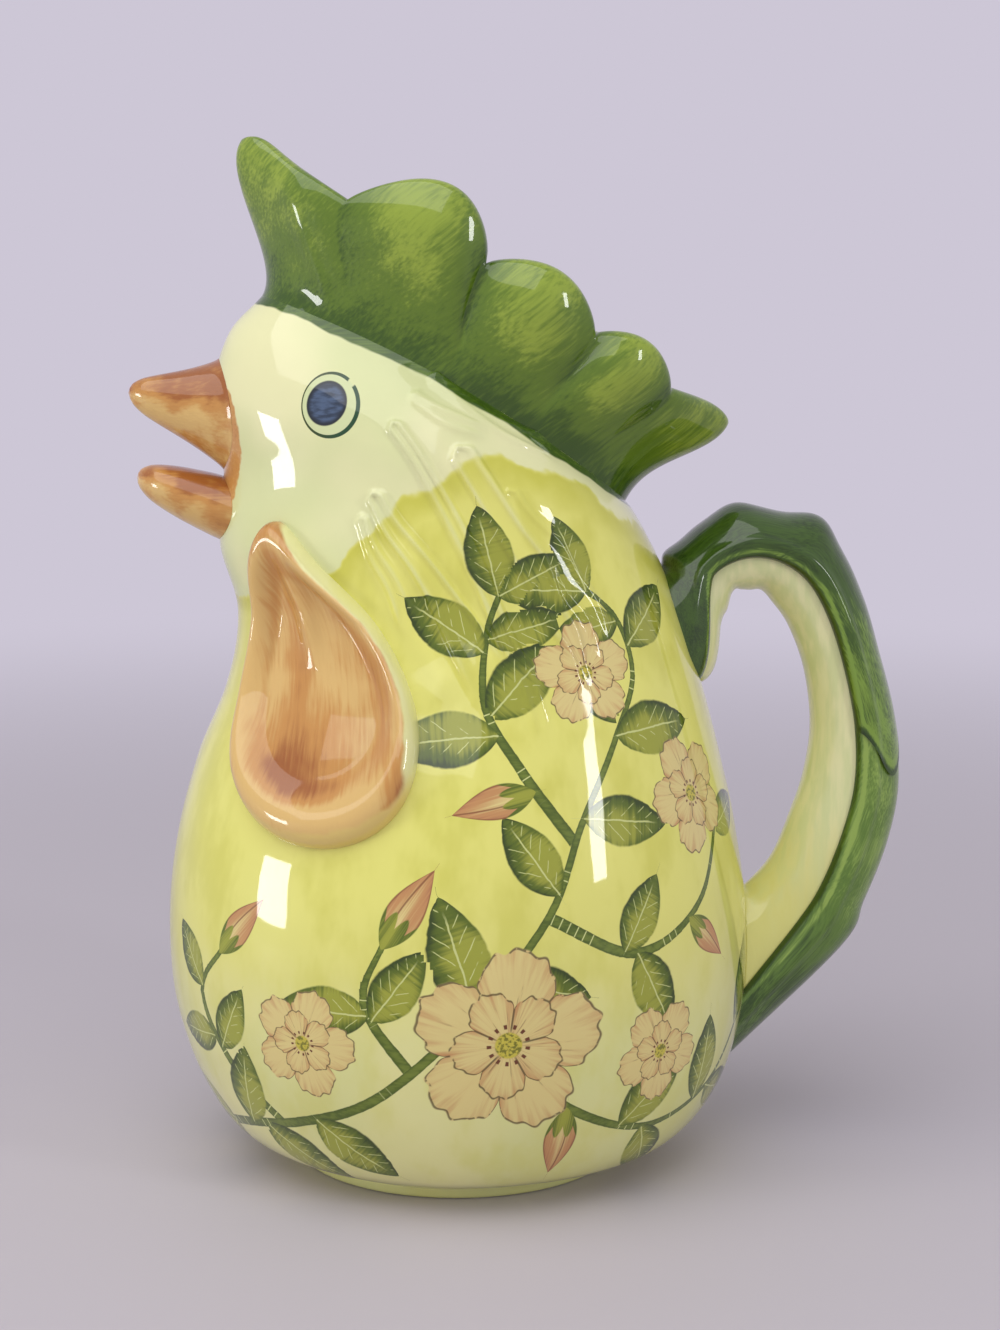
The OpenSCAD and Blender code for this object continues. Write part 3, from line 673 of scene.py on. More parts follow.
def paint_body(tree):
    """Cream slip, a yellow wash brushed up to the neck, the painted flowers, the eye, the green
    that runs over the comb's seam and the amber that runs on to the face."""
    place = in_mm(tree)
    x, _, z = split(place)
    outside = mark(tree, "outside")
    strokes = cloud(stretch(place, (0.1, 0.1, 0.05)), 1.0, 3.0)
    patches = cloud(place, 0.022)
    line = (cloud(place, 0.07, 3.0) - 0.5) * 15.0 + mark(tree, "wash_line")
    wash = ((strokes - 0.5) * 0.5 + 1.0) * band(line, 0.0, 2.5) * mark(tree, "wash")
    wash = wash * (1.0 - mark(tree, "ridge") * 0.6)
    shade = blend(band(patches, 0.4, 0.62), cream, shaded_cream)
    belly = blend(band(z, 30.0, 100.0), low_yellow, yellow)
    paint = blend(band(wash, 0.0, 0.8), shade, belly)
    deep = band(patches + strokes, 0.92, 1.22) * wash * 0.5
    rim = band(line, 14.0, 2.0) * wash * 0.9
    paint = blend(calc("MAXIMUM", deep, rim), paint, deep_yellow)
    for layer in ("side_vine", "main_vine"):
        paint = add_vines(paint, place, layer)
    paint, leaf_ripple = add_leaves(paint, place)
    paint = add_buds(paint, place)
    paint = add_blossoms(paint, place)
    paint = blend(outside, paint, add_eye(paint, place, x, z))
    seam = mark(tree, "crown") + (cloud(place, 0.07) - 0.5) * 2.6
    seam_green, _ = brush_on(place, 0.85, **comb_green)
    paint = blend(band(seam, 2.1, 1.6), paint, seam_green)
    root, _ = ellipse(x, z, amber_centre, amber_halves, 0)
    root = cloud(place, 0.25) * 0.12 + root
    face_amber, _ = brush_on(place, 0.45, **amber)
    paint = blend(band(root, 1.08, 1.05) * outside, paint, face_amber)
    return paint, strokes * 1.2 + leaf_ripple * 0.2


def add_object(name, data):
    """Adds an object to the scene."""
    made = bpy.data.objects.new(name, data)
    bpy.context.scene.collection.objects.link(made)
    return made


def put(name, mesh, material, slot, *nodes):
    """Makes a piece of the mesh that stands for the CAD nodes."""
    piece = add_object(name, mesh)
    mesh.materials.append(material)
    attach(piece, "root")
    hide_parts(*nodes)


put("body_piece", body_mesh, glazed("body_paint", paint_body), "body_glaze", "body")


# The foot
# A low ring turned under the base: glaze rounds over its outside, and its underside is wiped
# bare so that the pitcher doesn't stick to the kiln's shelf.
foot_d = 84 * mm
foot_wall = 7 * mm
foot_around = 200
foot_edge = 1 * mm
sunk = 0.3 * mm

roll = np.linspace(0, np.pi / 2, 12)
overhang = (base_d - foot_d) / 2
round_over = np.stack([
    foot_d / 2 + overhang * np.sqrt(1 - (1 - np.sin(roll)) ** 2), foot_h * (1 - np.cos(roll))], -1)
inner_r = foot_d / 2 - foot_wall
foot_profile = np.concatenate([
    [[inner_r, foot_h + sunk], [inner_r, 0.8 * foot_edge], [inner_r + 0.3 * foot_edge, 0.2 * foot_edge]],
    [[inner_r + foot_edge, 0], [foot_d / 2 - foot_edge, 0]],
    round_over, [[base_d / 2 - 0.4 * foot_edge, foot_h + sunk]]])
foot_turn = circle(foot_around)
foot_rings = np.stack([
    foot_profile[:, :1] * np.cos(foot_turn), foot_profile[:, :1] * np.sin(foot_turn),
    np.repeat(foot_profile[:, 1:], foot_around, 1)], -1)
foot_mesh = ring_mesh("foot", foot_rings[:, ::-1])


def glaze_cover(place):
    """One where glaze covers the foot, and zero inside its edge, which wavers a little."""
    flat = add_node(place.tree, "VectorMath", [place, (1, 1, 0)], operation="MULTIPLY")
    reach = cloud(place, 0.2) * 0.6 + length(flat)
    bare_reach = foot_d / 2 / mm
    return band(reach, bare_reach + 0.3, bare_reach + 0.5)


def paint_foot(tree):
    """Cream glaze down to the foot's edge, and bare white clay with fine grain below it."""
    place = in_mm(tree)
    grain = cloud(place, 2.5, 4.0)
    clay = blend(grain, srgb("#cfc6ae"), srgb("#e6dfca"))
    glaze = blend(cloud(place, 0.05), low_yellow, shaded_cream)
    return blend(glaze_cover(place), clay, glaze), grain


foot_paint = glazed("foot_paint", paint_foot)
foot_shader = foot_paint.node_tree.nodes["Principled BSDF"]
covered = glaze_cover(in_mm(foot_paint.node_tree))
covered.feed(foot_shader.inputs["Coat Weight"])
(0.8 - covered * 0.5).feed(foot_shader.inputs["Roughness"])
put("foot_piece", foot_mesh, foot_paint, "bare_clay", "foot_ring")


# The comb, the pitcher's open rim
# It is cast with a front spike that is the pouring lip, three puffed lobes a side and a tail
# spike, luted to the crown, and brushed with olive green under the glaze.
spike_h = 32.5 * mm
spike_reach = 24.5 * mm
tail_h = 31.5 * mm
tail_reach = 14.5 * mm
notch_h = 31.5 * mm
lobe_rise = 14.5 * mm
lobe_swell = 7 * mm
rim_flare = 3 * mm
notch_shares = np.array([0, 0.212, 0.47, 0.695, 0.862, 1])
notch_heights = np.array([1, 0.96, 1.06, 0.99, 0.91, 1]) * notch_h
lobe_rises = np.array([0, 1, 0.62, 0.48, 0]) * lobe_rise
tip_nip_share = 0.5
tip_length_share = 0.1
spike_swell_share = 0.4
front_knob_h, tail_knob_h = 1.8 * mm, 1.8 * mm
front_knob_share, tail_knob_share = 0.03, 0.055
ridge_h, ridge_share, ridge_w_share, ridge_lean = 1.3 * mm, 0.15, 0.022, 0.05
lobe_lean, lobe_fullness = 1.12, 0.7
swell_turn, swell_power = np.radians(144), 1.6
rim_bulge = 0.45 * wall
# The pale colour of a painted reflection down the comb's front and back edges.
painted_edge_reflection = srgb("#c3cb7a")


def knob(c, share):
    """A rise that starts at zero, is one at the share, and dies away."""
    return c / share * np.exp(1 - c / share)


def lobe_place(u):
    """The share c of the comb's length at angle u, the number of its lobe or spike there, how far
    through that it is, and the bump that it makes."""
    c = (1 - np.cos(u)) / 2
    i = np.clip(np.searchsorted(notch_shares, c, side="right") - 1, 0, 4)
    k = np.clip((c - notch_shares[i]) / (notch_shares[i + 1] - notch_shares[i]), 0, 1)
    bump = np.where(i == 0, np.cos(np.pi / 2 * k), np.where(
        i == 4, np.sin(np.pi / 2 * k), np.sin(np.pi * k ** lobe_lean).clip(0) ** lobe_fullness))
    return c, i, k, bump


def comb_point(u, t, inset=0.0):
    """The comb's flank: from the crown's edge it rises by the height at that share c of the
    comb's length, leans out towards both spikes, and swells sideways with each lobe."""
    u, t, inset = np.broadcast_arrays(u, t, inset)
    foot = skin(u, np.full_like(u, top), inset)
    front, back = skin(0.0, float(top)), skin(np.pi, float(top))
    along = unit(back - front)
    up = np.array([-along[2], 0, along[0]])
    c, i, k, bump = lobe_place(u)
    low = np.where(i == 0, spike_h, notch_heights[i])
    high = np.where(i == 4, tail_h, notch_heights[i + 1])
    out = tail_reach * c * smooth(t) ** 1.3 - spike_reach * (1 - c) * smooth(t)
    tall = low + (high - low) * k + lobe_rises[i] * bump
    tall += front_knob_h * knob(c, front_knob_share) + tail_knob_h * knob(1 - c, tail_knob_share)
    side = -np.sign(np.sin(u)) * np.abs(np.sin(u)) ** 1.2
    lift = crown_lift * np.sin(u) ** 2
    swell = lobe_swell * bump * np.sin(swell_turn * t ** swell_power)
    wide = rim_flare * t + swell * np.where((i == 0) | (i == 4), spike_swell_share, 1)
    ridge = ridge_h * bell((c - ridge_share + ridge_lean * t) / ridge_w_share)
    wide += ridge * smooth(t / 0.4) * smooth((1 - t) / 0.25)
    tip = bell(c / tip_length_share) + bell((1 - c) / tip_length_share)
    narrow = 1 - tip_nip_share * t * tip
    point = foot * np.stack([np.ones_like(c), narrow, np.ones_like(c)], -1)
    point = point + along * out[..., None] + up * ((tall - lift) * t)[..., None]
    point[..., 1] += side * wide * narrow
    return point


comb_u = circle(420)
rise = np.linspace(0, 1, 56)
comb_outer = comb_point(*np.meshgrid(comb_u, rise))
comb_inner = comb_point(*np.meshgrid(comb_u, rise[::-2]), wall)
rim_middle = (comb_outer[-1] + comb_inner[0]) / 2
rim_half = (comb_outer[-1] - comb_inner[0]) / 2
rim_up = unit(rim_middle - comb_point(comb_u, 0.9, wall / 2)) * rim_bulge
rim_arc = np.linspace(0, np.pi, 9)[1:-1, None, None]
comb_rim = rim_middle + rim_half * np.cos(rim_arc) + rim_up * np.sin(rim_arc)
comb_rings = np.concatenate([comb_outer, comb_rim, comb_inner])
comb_mesh = ring_mesh("comb", comb_rings, hard=[0, len(comb_rings) - 1])

climb = np.concatenate([rise, np.ones(len(comb_rim)), rise[::-2]])[:, None]
comb_c, comb_i, comb_k, comb_bump = lobe_place(comb_u[None, :])
on_lobe = (comb_i > 0) & (comb_i < 4)
# Painted light: each lobe's front part is lightened more than its back, as if the lamp falls there, and the
# spikes less.
painted_light = np.where(on_lobe, 1.15 - 0.75 * comb_k, 0.55)
# The pool mark: darker near the foot and in the creases between the lobes, partly pooled glaze and partly
# painted shade, and lighter on the upper part of each swelling, a painted light.
pool = 0.58 + 0.35 * (1 - smooth(climb / 0.35))
pool = pool - 0.62 * comb_bump * smooth((climb - 0.22) / 0.45) * painted_light
pool = pool + 0.25 * (1 - comb_bump) * on_lobe * smooth((climb - 0.3) / 0.3)
store(comb_mesh, "pool", pool)
depth = np.concatenate([0 * rise, np.zeros(len(comb_rim)), 1 - rise[::-2]])[:, None] * notch_h / mm
store(comb_mesh, "inside", depth * np.ones_like(comb_c))
store(comb_mesh, "spine_edge", np.minimum(comb_c, 1 - comb_c) * np.ones_like(climb))


def paint_comb(tree):
    """Olive green in fine slanting strokes: it is darker in the hollows and over the seam, partly pooled
    glaze and partly painted shade, and thin and light on the swellings, most on their upper fronts as painted
    light. A pale line down the front and back edges is a painted reflection, and the green ends in
    brush marks a little way inside the rim."""
    place = in_mm(tree)
    strokes = stretch(place, (1, 1, 1), (0, np.radians(38), 0))
    green, ripple = brush_on(strokes, mark(tree, "pool"), **comb_green)
    # A pale line down the front and back edges: a painted reflection.
    line = cloud(place, 0.2) * 0.0012 + mark(tree, "spine_edge")
    green = blend(band(line, 0.0011, 0.0007) * 0.7, green, painted_edge_reflection)
    border = cloud(stretch(place, (1, 1, 0.3)), 0.3, 3.0) * 9.0 + mark(tree, "inside")
    return blend(band(border, 13.0, 14.5), green, cream), ripple


put("comb_piece", comb_mesh, glazed("comb_paint", paint_comb), "comb_glaze", "comb")


# The beak
# Two solid halves modelled by hand and luted to the face with an open mouth between them,
# brushed with amber that runs a little on to the face.
beak_turns = 96
beak_reach_shares = [0, 0.04, 0.12, 0.3, 0.5, 0.7, 0.85, 0.95, 0.99]
beaks = {
    "upper_beak": dict(row=0.829 * top, w=29 * mm, h=31 * mm, l=23 * mm, tip=0.2,
                       sizes=[1, 0.94, 0.86, 0.71, 0.57, 0.44, 0.33, 0.21, 0.1]),
    "lower_beak": dict(row=0.7285 * top, w=27 * mm, h=17.5 * mm, l=22.5 * mm, tip=0.37,
                       sizes=[1, 0.99, 0.97, 0.9, 0.81, 0.68, 0.53, 0.33, 0.16]),
}


def beak_rings(row, w, h, l, tip, sizes):
    """A round patch of the face drawn out along the reach, its size shrinking to a blunt tip."""
    angle = circle(beak_turns)
    root = on_skin(0.0, row, w / 2 * np.cos(angle), h / 2 * np.sin(angle))
    middle = skin(0.0, row)
    reach = np.array([-l, 0, l * tip])
    places = np.linspace(0, len(sizes) - 1, 60)
    far, size = through(beak_reach_shares, places), through(sizes, places)
    rings = middle + reach * far[:, None, None] + (root - middle) * size[:, None, None]
    return rings, middle, middle + reach, angle, far


def paint_beak(tree):
    """Amber brushed from the face to the tip, darker along both edges and thin on the flanks."""
    place = in_mm(tree)
    shade = mark(tree, "pool") + (cloud(place, 0.11) - 0.5) * 1.8
    return brush_on(place, shade, **amber, streaks=0.5)


beak_glaze = glazed("beak_paint", paint_beak)
for beak_name, beak_size in beaks.items():
    rings, middle, tip, angle, far = beak_rings(**beak_size)
    beak_mesh = ring_mesh(beak_name, rings, middle, tip)
    above = np.sin(angle)[None, :] * np.ones((len(rings), 1))
    pool = 0.16 + 0.75 * smooth((above + 0.3) / 0.9) + 0.3 * smooth(-above - 0.7)
    pool = pool - 0.15 * smooth((far[:, None] - 0.5) / 0.3)
    store(beak_mesh, "pool", pool)
    put(beak_name + "_piece", beak_mesh, beak_glaze, "amber_glaze", beak_name)


# The wattles
# Raised teardrops on both sides of the breast, with a rolled lip and a dished middle,
# brushed with amber that pools dark at the lower end of the dish.
wattle_h = 86 * mm
wattle_w = 60 * mm
wattle_lip = 6 * mm
wattle_dish = 1.1 * mm
wattle_lean = 0.18
tip_width, low_width, tip_power = 0.42, 0.68, 1.7
wattle_u, wattle_row = 2 * np.pi * 0.1417, 0.567 * top
wattle_turns, wattle_rings = 200, 90
lip_start, lip_crest = 0.62, 0.88
crease_h = 2.6 * mm
thin_amber = srgb("#e2c574")


def wattle_place(a, r):
    """How far round the wall and up it: a is the angle from the teardrop's top, r the share from
    its middle to its edge."""
    p = wattle_w / 2 * r * np.sin(a) * (tip_width + low_width * np.abs(np.sin(a / 2)) ** tip_power)
    q = wattle_h / 2 * r * np.cos(a)
    return p, q


def wattle_point(a, r, out, side=1):
    """The teardrop on the wall, leaning back towards its top, raised by out."""
    p, q = wattle_place(a, r)
    return on_skin(wattle_u, wattle_row, p - q * wattle_lean, q, out) * [1, side, 1]


def wattle_rise(a, r):
    """Height over the wall: a dish, a lip that rises to its crest, a rounded edge that comes down
    on to the wall, and a crease that parts the dish's upper half in two."""
    p, q = wattle_place(a, r)
    dish = wattle_dish + (wattle_lip - wattle_dish) * smooth((r - lip_start) / (lip_crest - lip_start))
    edge = wattle_lip * np.sqrt(np.clip(1 - ((r - lip_crest) / (1 - lip_crest)) ** 2, 0, 1))
    crease = crease_h * bell((p + 1.5 * mm - 0.1 * q) / (3.2 * mm))
    crease = crease * smooth((q + 3 * mm) / (18 * mm)) * smooth((lip_crest - r) / 0.25)
    return np.where(r < lip_crest, dish + crease, edge)


def paint_wattle(tree):
    """Amber in long upright strokes inside the lip, dark where it pools, pale on the crease and
    the lip, thin on the outer slope below, and none on the rest of it, which stays cream."""
    place = mark(tree, "brush", "Vector")
    along, _, share = split(place)
    shade = mark(tree, "pool") + (cloud(place, 0.075) - 0.5) * 0.7
    colour, ripple = brush_on(stretch(place, (0.8, 0.8, 0)), shade, **amber, streaks=0.7)
    slope = blend(cloud(place, 0.05), cream, low_yellow)
    slope = blend(band(along, -23.0, -33.0), slope, thin_amber)
    uneven = cloud(place, 0.18) * 0.05 + share
    return blend(band(uneven, 1.0, 1.03), colour, slope), ripple


wattle_glaze = glazed("wattle_paint", paint_wattle)
for wattle_name, side in [("left_wattle", 1), ("right_wattle", -1)]:
    turn = -side * circle(wattle_turns)
    share = 1 - np.linspace(0, 1, wattle_rings) ** 1.3
    a, r = np.meshgrid(turn, share[:-1])
    back_r = np.linspace(0.5, 1, 6)[:, None] * np.ones_like(a[:6])
    back = wattle_point(a[:6], back_r, -sunk, side)
    front = wattle_point(a, r, wattle_rise(a, r), side)
    under, middle = [wattle_point(0.0, 0.0, out, side) for out in (-sunk, wattle_dish)]
    wattle_mesh = ring_mesh(wattle_name, np.concatenate([back, front]), under, middle)
    a, r = np.concatenate([a[:6], a]), np.concatenate([back_r, r])
    p, q = wattle_place(a, r)
    pool = 0.12 + 0.85 * bell((q + 25 * mm) / (12 * mm)) * bell((p + 5 * mm) / (10 * mm))
    pool += 0.3 * bell((q + 4 * mm) / (18 * mm)) * bell((p + 5 * mm) / (4 * mm))
    pool += 0.4 * bell((p - 20 * mm) / (5 * mm)) + 0.35 * smooth((q - 26 * mm) / (9 * mm))
    pool += 0.2 * bell((r - 0.69) / 0.05) - 0.3 * bell((r - 0.85) / 0.06) + 0.3 * smooth((r - 0.93) / 0.04)
    low = smooth((-q - 26 * mm) / (11 * mm))
    pool -= 0.32 * low * smooth((r - 0.74) / 0.08)
    painted = r - 0.02 + 0.1 * smooth(p / (10 * mm)) * smooth((q + 34 * mm) / (16 * mm)) + 0.07 * low
    store(wattle_mesh, "pool", pool)
    store(wattle_mesh, "brush", q / mm, p / mm, painted)
    put(wattle_name + "_piece", wattle_mesh, wattle_glaze, "amber_glaze", wattle_name)


# The handle
# A rounded strap pulled from clay, left cream, that springs from the neck and merges into the
# lower belly. Two green feathers are laid over its top and outer side.
handle_reach = 31 * mm
grip_w = 22 * mm
grip_t = 19 * mm
upper_root_row, lower_root_row = 0.591 * top, 0.241 * top
upper_root_h, lower_root_h, root_spread = 32 * mm, 50 * mm, 4 * mm
corner_bone, corner_reach, corner_width = 1.6, 0.65, 1.5
flange_reach = 22 * mm
spine_reach_shares = [-0.4, -0.24, 0, 0.25, 0.48, 0.66, 0.81, 0.92, 0.93, 0.83, 0.65, 0.44]
spine_height_shares = [
    0.672, 0.692, 0.701, 0.695, 0.673, 0.633, 0.576, 0.507, 0.44, 0.382, 0.321, 0.277]
spine_t_shares = [0.82, 0.87, 1, 0.94, 1.03, 0.95, 0.91, 1.03, 1.24, 1.34, 1.37, 1.53]


def root_bone(row):
    """Bone on the wall behind a root: reach, height and half thickness."""
    x, _, z = skin(np.pi, float(row))
    return [x, z, grip_t / 2]


spine = np.vstack([
    root_bone(upper_root_row),
    np.stack([
        belly_l / 2 + np.multiply(spine_reach_shares, handle_reach),
        np.multiply(spine_height_shares, crown_h), np.multiply(spine_t_shares, grip_t / 2)], axis=1),
    root_bone(lower_root_row)])
last_bone = len(spine) - 1
bone_step = 0.05


def handle_point(a, s, out=0.0):
    """The handle at angle a round its spine and bone s along it: an oval section square to the
    spine, carried by a smooth curve into a round patch of the wall at each end. The angle of 90
    degrees is the outer side, and out is the height over the core. The underside of the upper root
    leaves the wall squarely, as a flange. The inner corner above that is rounded: a point there moves
    on to the chord between its neighbours on the curve."""
    a, s, out = np.broadcast_arrays(a, s, out)
    knots = []
    for bone in range(last_bone + 1):
        if 0 < bone < last_bone:
            x, z, thick = spine[bone]
            way = through(spine, bone + bone_step) - through(spine, bone - bone_step)
            along = unit(way[:2])
            reach = (thick + out) * np.sin(a)
            knot = [x - along[1] * reach, (grip_w / 2 + out) * np.cos(a), z + along[0] * reach]
            knots.append(np.stack(knot, -1))
        else:
            row = lower_root_row if bone else upper_root_row
            tall = -(lower_root_h / 2 + out) if bone else upper_root_h / 2 + out
            p = ((grip_w + root_spread) / 2 + out) * np.cos(a)
            knots.append(on_skin(np.pi, row, p, tall * np.sin(a)))
    knots = np.array(knots)
    flange = skin_normal(np.pi, float(upper_root_row)) * flange_reach
    under = np.clip(-np.sin(a), 0, 1)[..., None] ** 0.7
    leaving = knots[1] - knots[0] + under * (flange - (knots[1] - knots[0]))
    padded = np.concatenate([[knots[1] - 2 * leaving], knots, [2 * knots[-1] - knots[-2]]])

    def curve(s):
        i = np.clip(np.floor(s), 0, last_bone - 1).astype(int)
        t = (s - i)[..., None]
        return between(*[
            np.take_along_axis(padded, (i + k)[None, ..., None], 0)[0] for k in range(4)], t)

    point = curve(s)
    reach = np.minimum(corner_reach, s)
    chord = (curve(s - reach) + curve(np.clip(s + reach, 0, last_bone))) / 2
    share = smooth(1 - np.abs(s - corner_bone) / corner_width) * np.clip(-np.sin(a), 0, 1) ** 1.5
    return point + share[..., None] * (chord - point)


handle_rings = handle_point(*np.meshgrid(circle(120), np.linspace(0, last_bone, 260)))
handle_mesh = ring_mesh(
    "handle", handle_rings, skin(np.pi, upper_root_row), skin(np.pi, lower_root_row))


def paint_handle(tree):
    """Cream slip that turns yellow towards the lower root, with faint strokes along the strap."""
    place = in_mm(tree)
    _, _, z = split(place)
    strokes = cloud(stretch(place, (0.5, 0.5, 0.08)), 0.7, 3.0)
    slip = blend(band(strokes, 0.35, 0.65), cream, shaded_cream)
    return blend(band(strokes * 30.0 + z, 120.0, 75.0), slip, low_yellow), strokes


put("handle_piece", handle_mesh, glazed("handle_paint", paint_handle), "handle_glaze", "handle")


# The handle's feathers
# Two thin slabs of clay: the upper one wraps the handle's top, has knuckles along its ridge and
# ends in two tongues over the lower one. Both are brushed green with darker edges.
feather_t = 4 * mm
feather_end_bone, tongue_length, tongue_overlap = 8.1, 0.75, 0.05
lower_thinner = 0.17 * feather_t
feather_gap = 0.2 * mm
rib_h, rib_share, rib_w_share = 0.8 * mm, 0.12, 0.035
knuckles = [(1.15, 0.35, 0.3), (2.75, 0.38, 0.42), (4.4, 0.9, 0.45)]
knuckle_h = 4 * mm
feather_wrap, root_wrap, root_wrap_bones = np.radians(88), np.radians(145), 1.4
upper_green = dict(light=srgb("#7f9e3c"), mid=srgb("#3f5c18"), dark=srgb("#233a08"))
lower_green = dict(light=srgb("#94b052"), mid=srgb("#5f7f2e"), dark=srgb("#304b12"))


def feather_rise(k, s):
    """Thickness at share k across: full in the middle, rounded at both edges, with knuckles, each
    at its bone, as high as its share, and fading over its reach in bones."""
    round_off = np.sqrt(np.clip(1 - np.abs(2 * k - 1) ** 4, 0, 1))
    ridge = np.sin(np.pi * k).clip(0) ** 3
    bumps = sum(share * bell((s - place) / reach) for place, share, reach in knuckles)
    return feather_t * (0.4 + 0.6 * round_off) + knuckle_h * ridge * bumps


def feather_end(k):
    """Bone at which the upper feather ends: a tongue in the middle of each half."""
    return feather_end_bone + tongue_length * np.sin(np.pi * np.abs(2 * k - 1)) ** 2


def feather_mesh(name, upper, thin):
    """A closed slab over the handle: its top and its underside are grids in k and s. It keeps the
    place along and across it in mm, and the distance from its nearest edge."""
    k = np.linspace(0, 1, 90)[None, :]
    t = np.linspace(0, 1, 200 if upper else 120)[:, None]
    end = feather_end(k)
    s = end * t if upper else end - tongue_overlap + (last_bone - end + tongue_overlap) * t
    wrap = feather_wrap + (root_wrap - feather_wrap) * np.clip(1 - s / root_wrap_bones, 0, 1) ** 1.5
    angle = np.pi / 2 + wrap * (2 * k - 1)
    border = np.minimum(k, 1 - k)
    full = feather_rise(k, s) - thin + rib_h * bell((border - rib_share) / rib_w_share)
    roll = 0.15 + 0.85 * np.sqrt(np.clip(1 - (1 - np.clip(border / 0.05, 0, 1)) ** 2, 0, 1))
    over = handle_point(angle, s, full * roll + feather_gap)
    under = handle_point(angle, s, 0 * full - sunk)
    rings = np.concatenate([over, under[:, ::-1]], axis=1)
    mesh = ring_mesh(
        name, rings[:, ::-1], rings[0].mean(0), rings[-1].mean(0), hard=[0, len(rings) - 1])
    across = np.cumsum(np.linalg.norm(np.diff(over, axis=1, prepend=over[:, :1]), axis=-1), axis=1)
    along = np.cumsum(np.linalg.norm(np.diff(over, axis=0, prepend=over[:1]), axis=-1), axis=0)
    edge = np.minimum(across, across[:, -1:] - across)
    if upper:
        edge = np.minimum(edge, along[-1:] - along)
    store(mesh, "brush", *[
        np.concatenate([one, one[:, ::-1]], axis=1)[:, ::-1] / mm for one in (along, across, edge)])
    return mesh


def paint_feather(tree, colours, bias, end_bias, span):
    """Green in strokes along the feather, whose shade goes from bias to end_bias over the span in
    mm, with a dark line along its edge and a light one inside that, a painted highlight along the rib."""
    place = mark(tree, "brush", "Vector")
    along, _, edge = split(place)
    uneven = (cloud(in_mm(tree), 0.12) - 0.5) * 1.4 + edge
    # The light line about 3.6 mm in from the edge is a painted highlight along the rib.
    shade = band(uneven, 2.4, 1.0) * 0.6 + bias - band(abs(uneven - 3.6), 1.3, 0.2) * 0.45
    shade = band(along, *span) * (end_bias - bias) + shade
    return brush_on(place, shade, **colours)


put("upper_feather_piece", feather_mesh("handle_upper_feather", True, 0), glazed(
    "upper_feather_paint", lambda tree: paint_feather(tree, upper_green, 0.7, 0.2, (50.0, 100.0))),
    "dark_feather_glaze", "handle_upper_feather")
# The lower feather darkens from 0.32 to 0.8 towards its lower end: painted shade.
put("lower_feather_piece", feather_mesh("handle_lower_feather", False, lower_thinner), glazed(
    "lower_feather_paint", lambda tree: paint_feather(tree, lower_green, 0.32, 0.8, (25.0, 75.0))),
    "light_feather_glaze", "handle_lower_feather")


# The table, the light and the camera
# A plain pale floor that fades into a pale background, two narrow windows and a soft lamp above,
# and a camera that stands where the photographer did.
backdrop = srgb("#cdc7d6")
floor_half = 4.0
floor_corners = [(x * floor_half, y * floor_half, 0) for x, y in [(-1, -1), (1, -1), (1, 1), (-1, 1)]]
floor_mesh = bpy.data.meshes.new("floor")
floor_mesh.from_pydata(floor_corners, [], [(0, 1, 2, 3)])
floor = add_object("floor", floor_mesh)


def looked_at(tree):
    """One where a camera or a mirror-like glaze looks, and zero for the light on the object."""
    path = tree.nodes.new("ShaderNodeLightPath").outputs
    direct, mirrored, through_glass = [
        Value(path["Is " + kind + " Ray"]) for kind in ("Camera", "Glossy", "Transmission")]
    return calc("MAXIMUM", calc("MAXIMUM", direct, mirrored), through_glass)


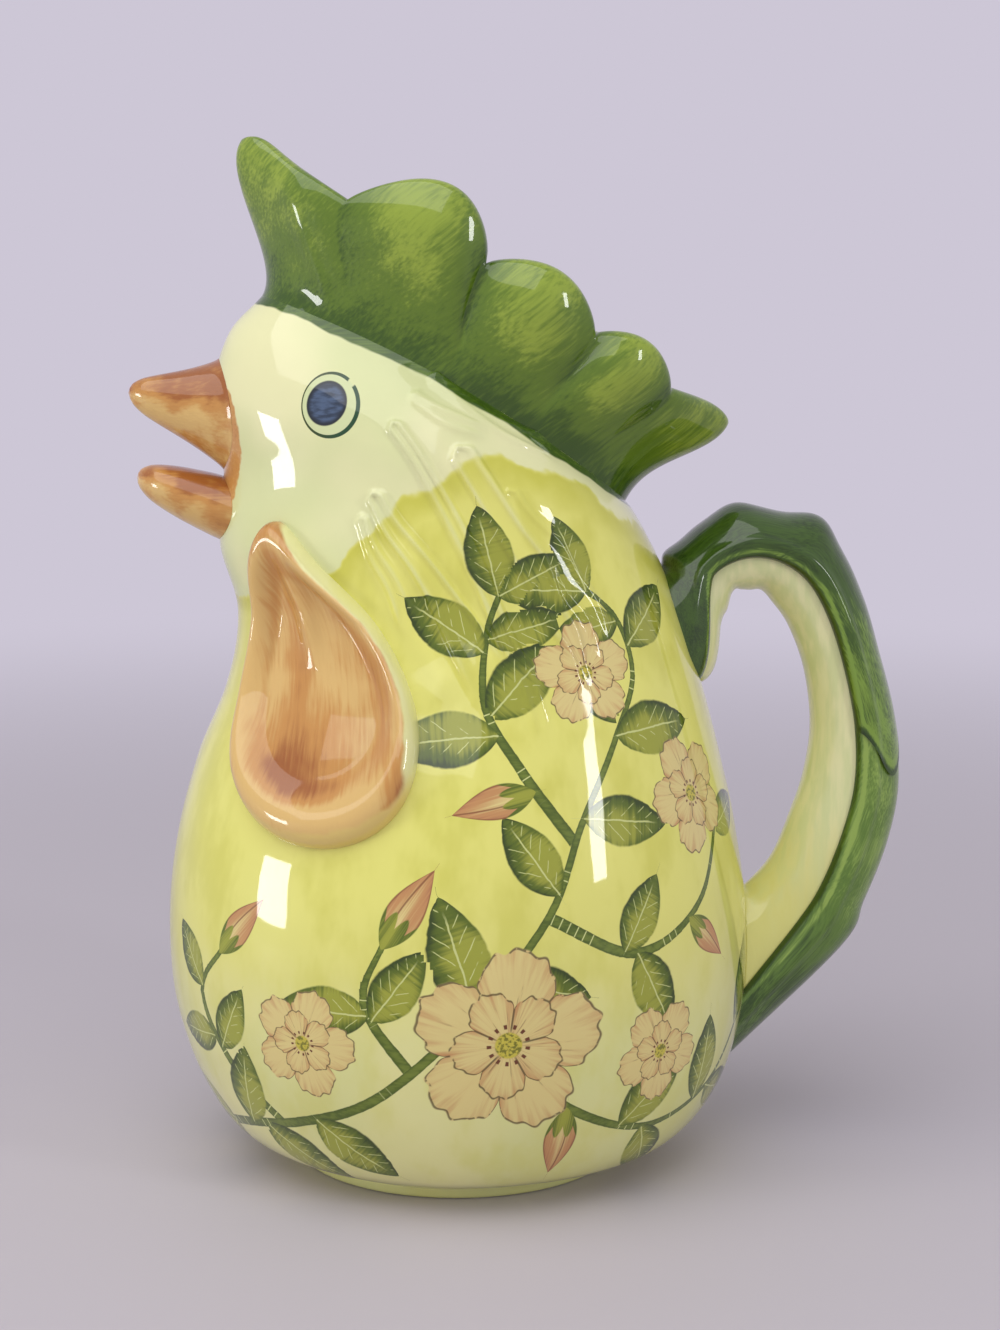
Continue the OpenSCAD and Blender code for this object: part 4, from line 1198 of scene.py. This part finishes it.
floor_mat = bpy.data.materials.new("pale_floor")
floor_mat.use_nodes = True
tree = floor_mat.node_tree
shader = tree.nodes["Principled BSDF"]
shader.inputs["Base Color"].default_value = srgb("#c9c2cb")
shader.inputs["Roughness"].default_value = 0.6
from_middle = length(add_node(tree, "TexCoord", {}, output="Object"))
fade = band(from_middle, 0.25, 1.3) * looked_at(tree)
far_floor = add_node(tree, "Emission", {"Color": backdrop, "Strength": 1.0})
mixed = add_node(tree, "MixShader", [fade, Value(shader.outputs[0]), far_floor])
mixed.feed(tree.nodes["Material Output"].inputs["Surface"])
floor_mesh.materials.append(floor_mat)

world = bpy.data.worlds.new("studio")
bpy.context.scene.world = world
world.use_nodes = True
tree = world.node_tree
air = tree.nodes["Background"]
air.inputs["Color"].default_value = (0.93, 0.92, 0.95, 1)
air.inputs["Strength"].default_value = 0.46
behind = add_node(tree, "Background", {"Color": backdrop, "Strength": 1.0})
mixed = add_node(tree, "MixShader", [looked_at(tree), Value(air.outputs[0]), behind])
mixed.feed(tree.nodes["World Output"].inputs["Surface"])


def aim(thing, target):
    """Turns a lamp or camera, which looks along its own -Z, towards a target."""
    way = unit(np.array(target) - np.array(thing.location))
    side = unit(np.cross(way, [0, 0, 1]))
    up = np.cross(side, way)
    thing.rotation_euler = Matrix(np.array([side, up, -way]).T.tolist()).to_euler()


def from_pitcher(degrees, elevation, distance):
    """The place at that distance from the pitcher's middle, degrees to the right of its front."""
    turn, lift = np.radians(degrees), np.radians(elevation)
    return pitcher_middle + distance * np.array([
        np.sin(turn) * np.cos(lift), -np.cos(turn) * np.cos(lift), np.sin(lift)])


pitcher_middle = np.array([11.81, 0, 137.17]) * mm
lamps = {
    "left_window": dict(place=from_pitcher(-74, 2.5, 1.2), size=(0.26, 0.24), watts=2.6),
    "right_window": dict(place=from_pitcher(49, 14, 1.2), size=(0.13, 0.42), watts=2.4),
    "ceiling": dict(place=from_pitcher(-35, 58, 1.3), size=(1.5, 1.3), watts=10.5)}
for lamp_name, lamp in lamps.items():
    light = bpy.data.lights.new(lamp_name, "AREA")
    light.shape = "RECTANGLE"
    light.size, light.size_y = lamp["size"]
    light.energy = lamp["watts"]
    lamp_object = add_object(lamp_name, light)
    lamp_object.location = lamp["place"]
    lamp_object.visible_camera = False
    aim(lamp_object, pitcher_middle)

camera_data = bpy.data.cameras.new("camera")
camera_data.sensor_width = 36
camera_data.lens = 63.37
camera = add_object("camera", camera_data)
camera.location = from_pitcher(-4, 8, 0.650)
aim(camera, pitcher_middle)
bpy.context.scene.camera = camera
bpy.context.scene.view_settings.view_transform = "Standard"
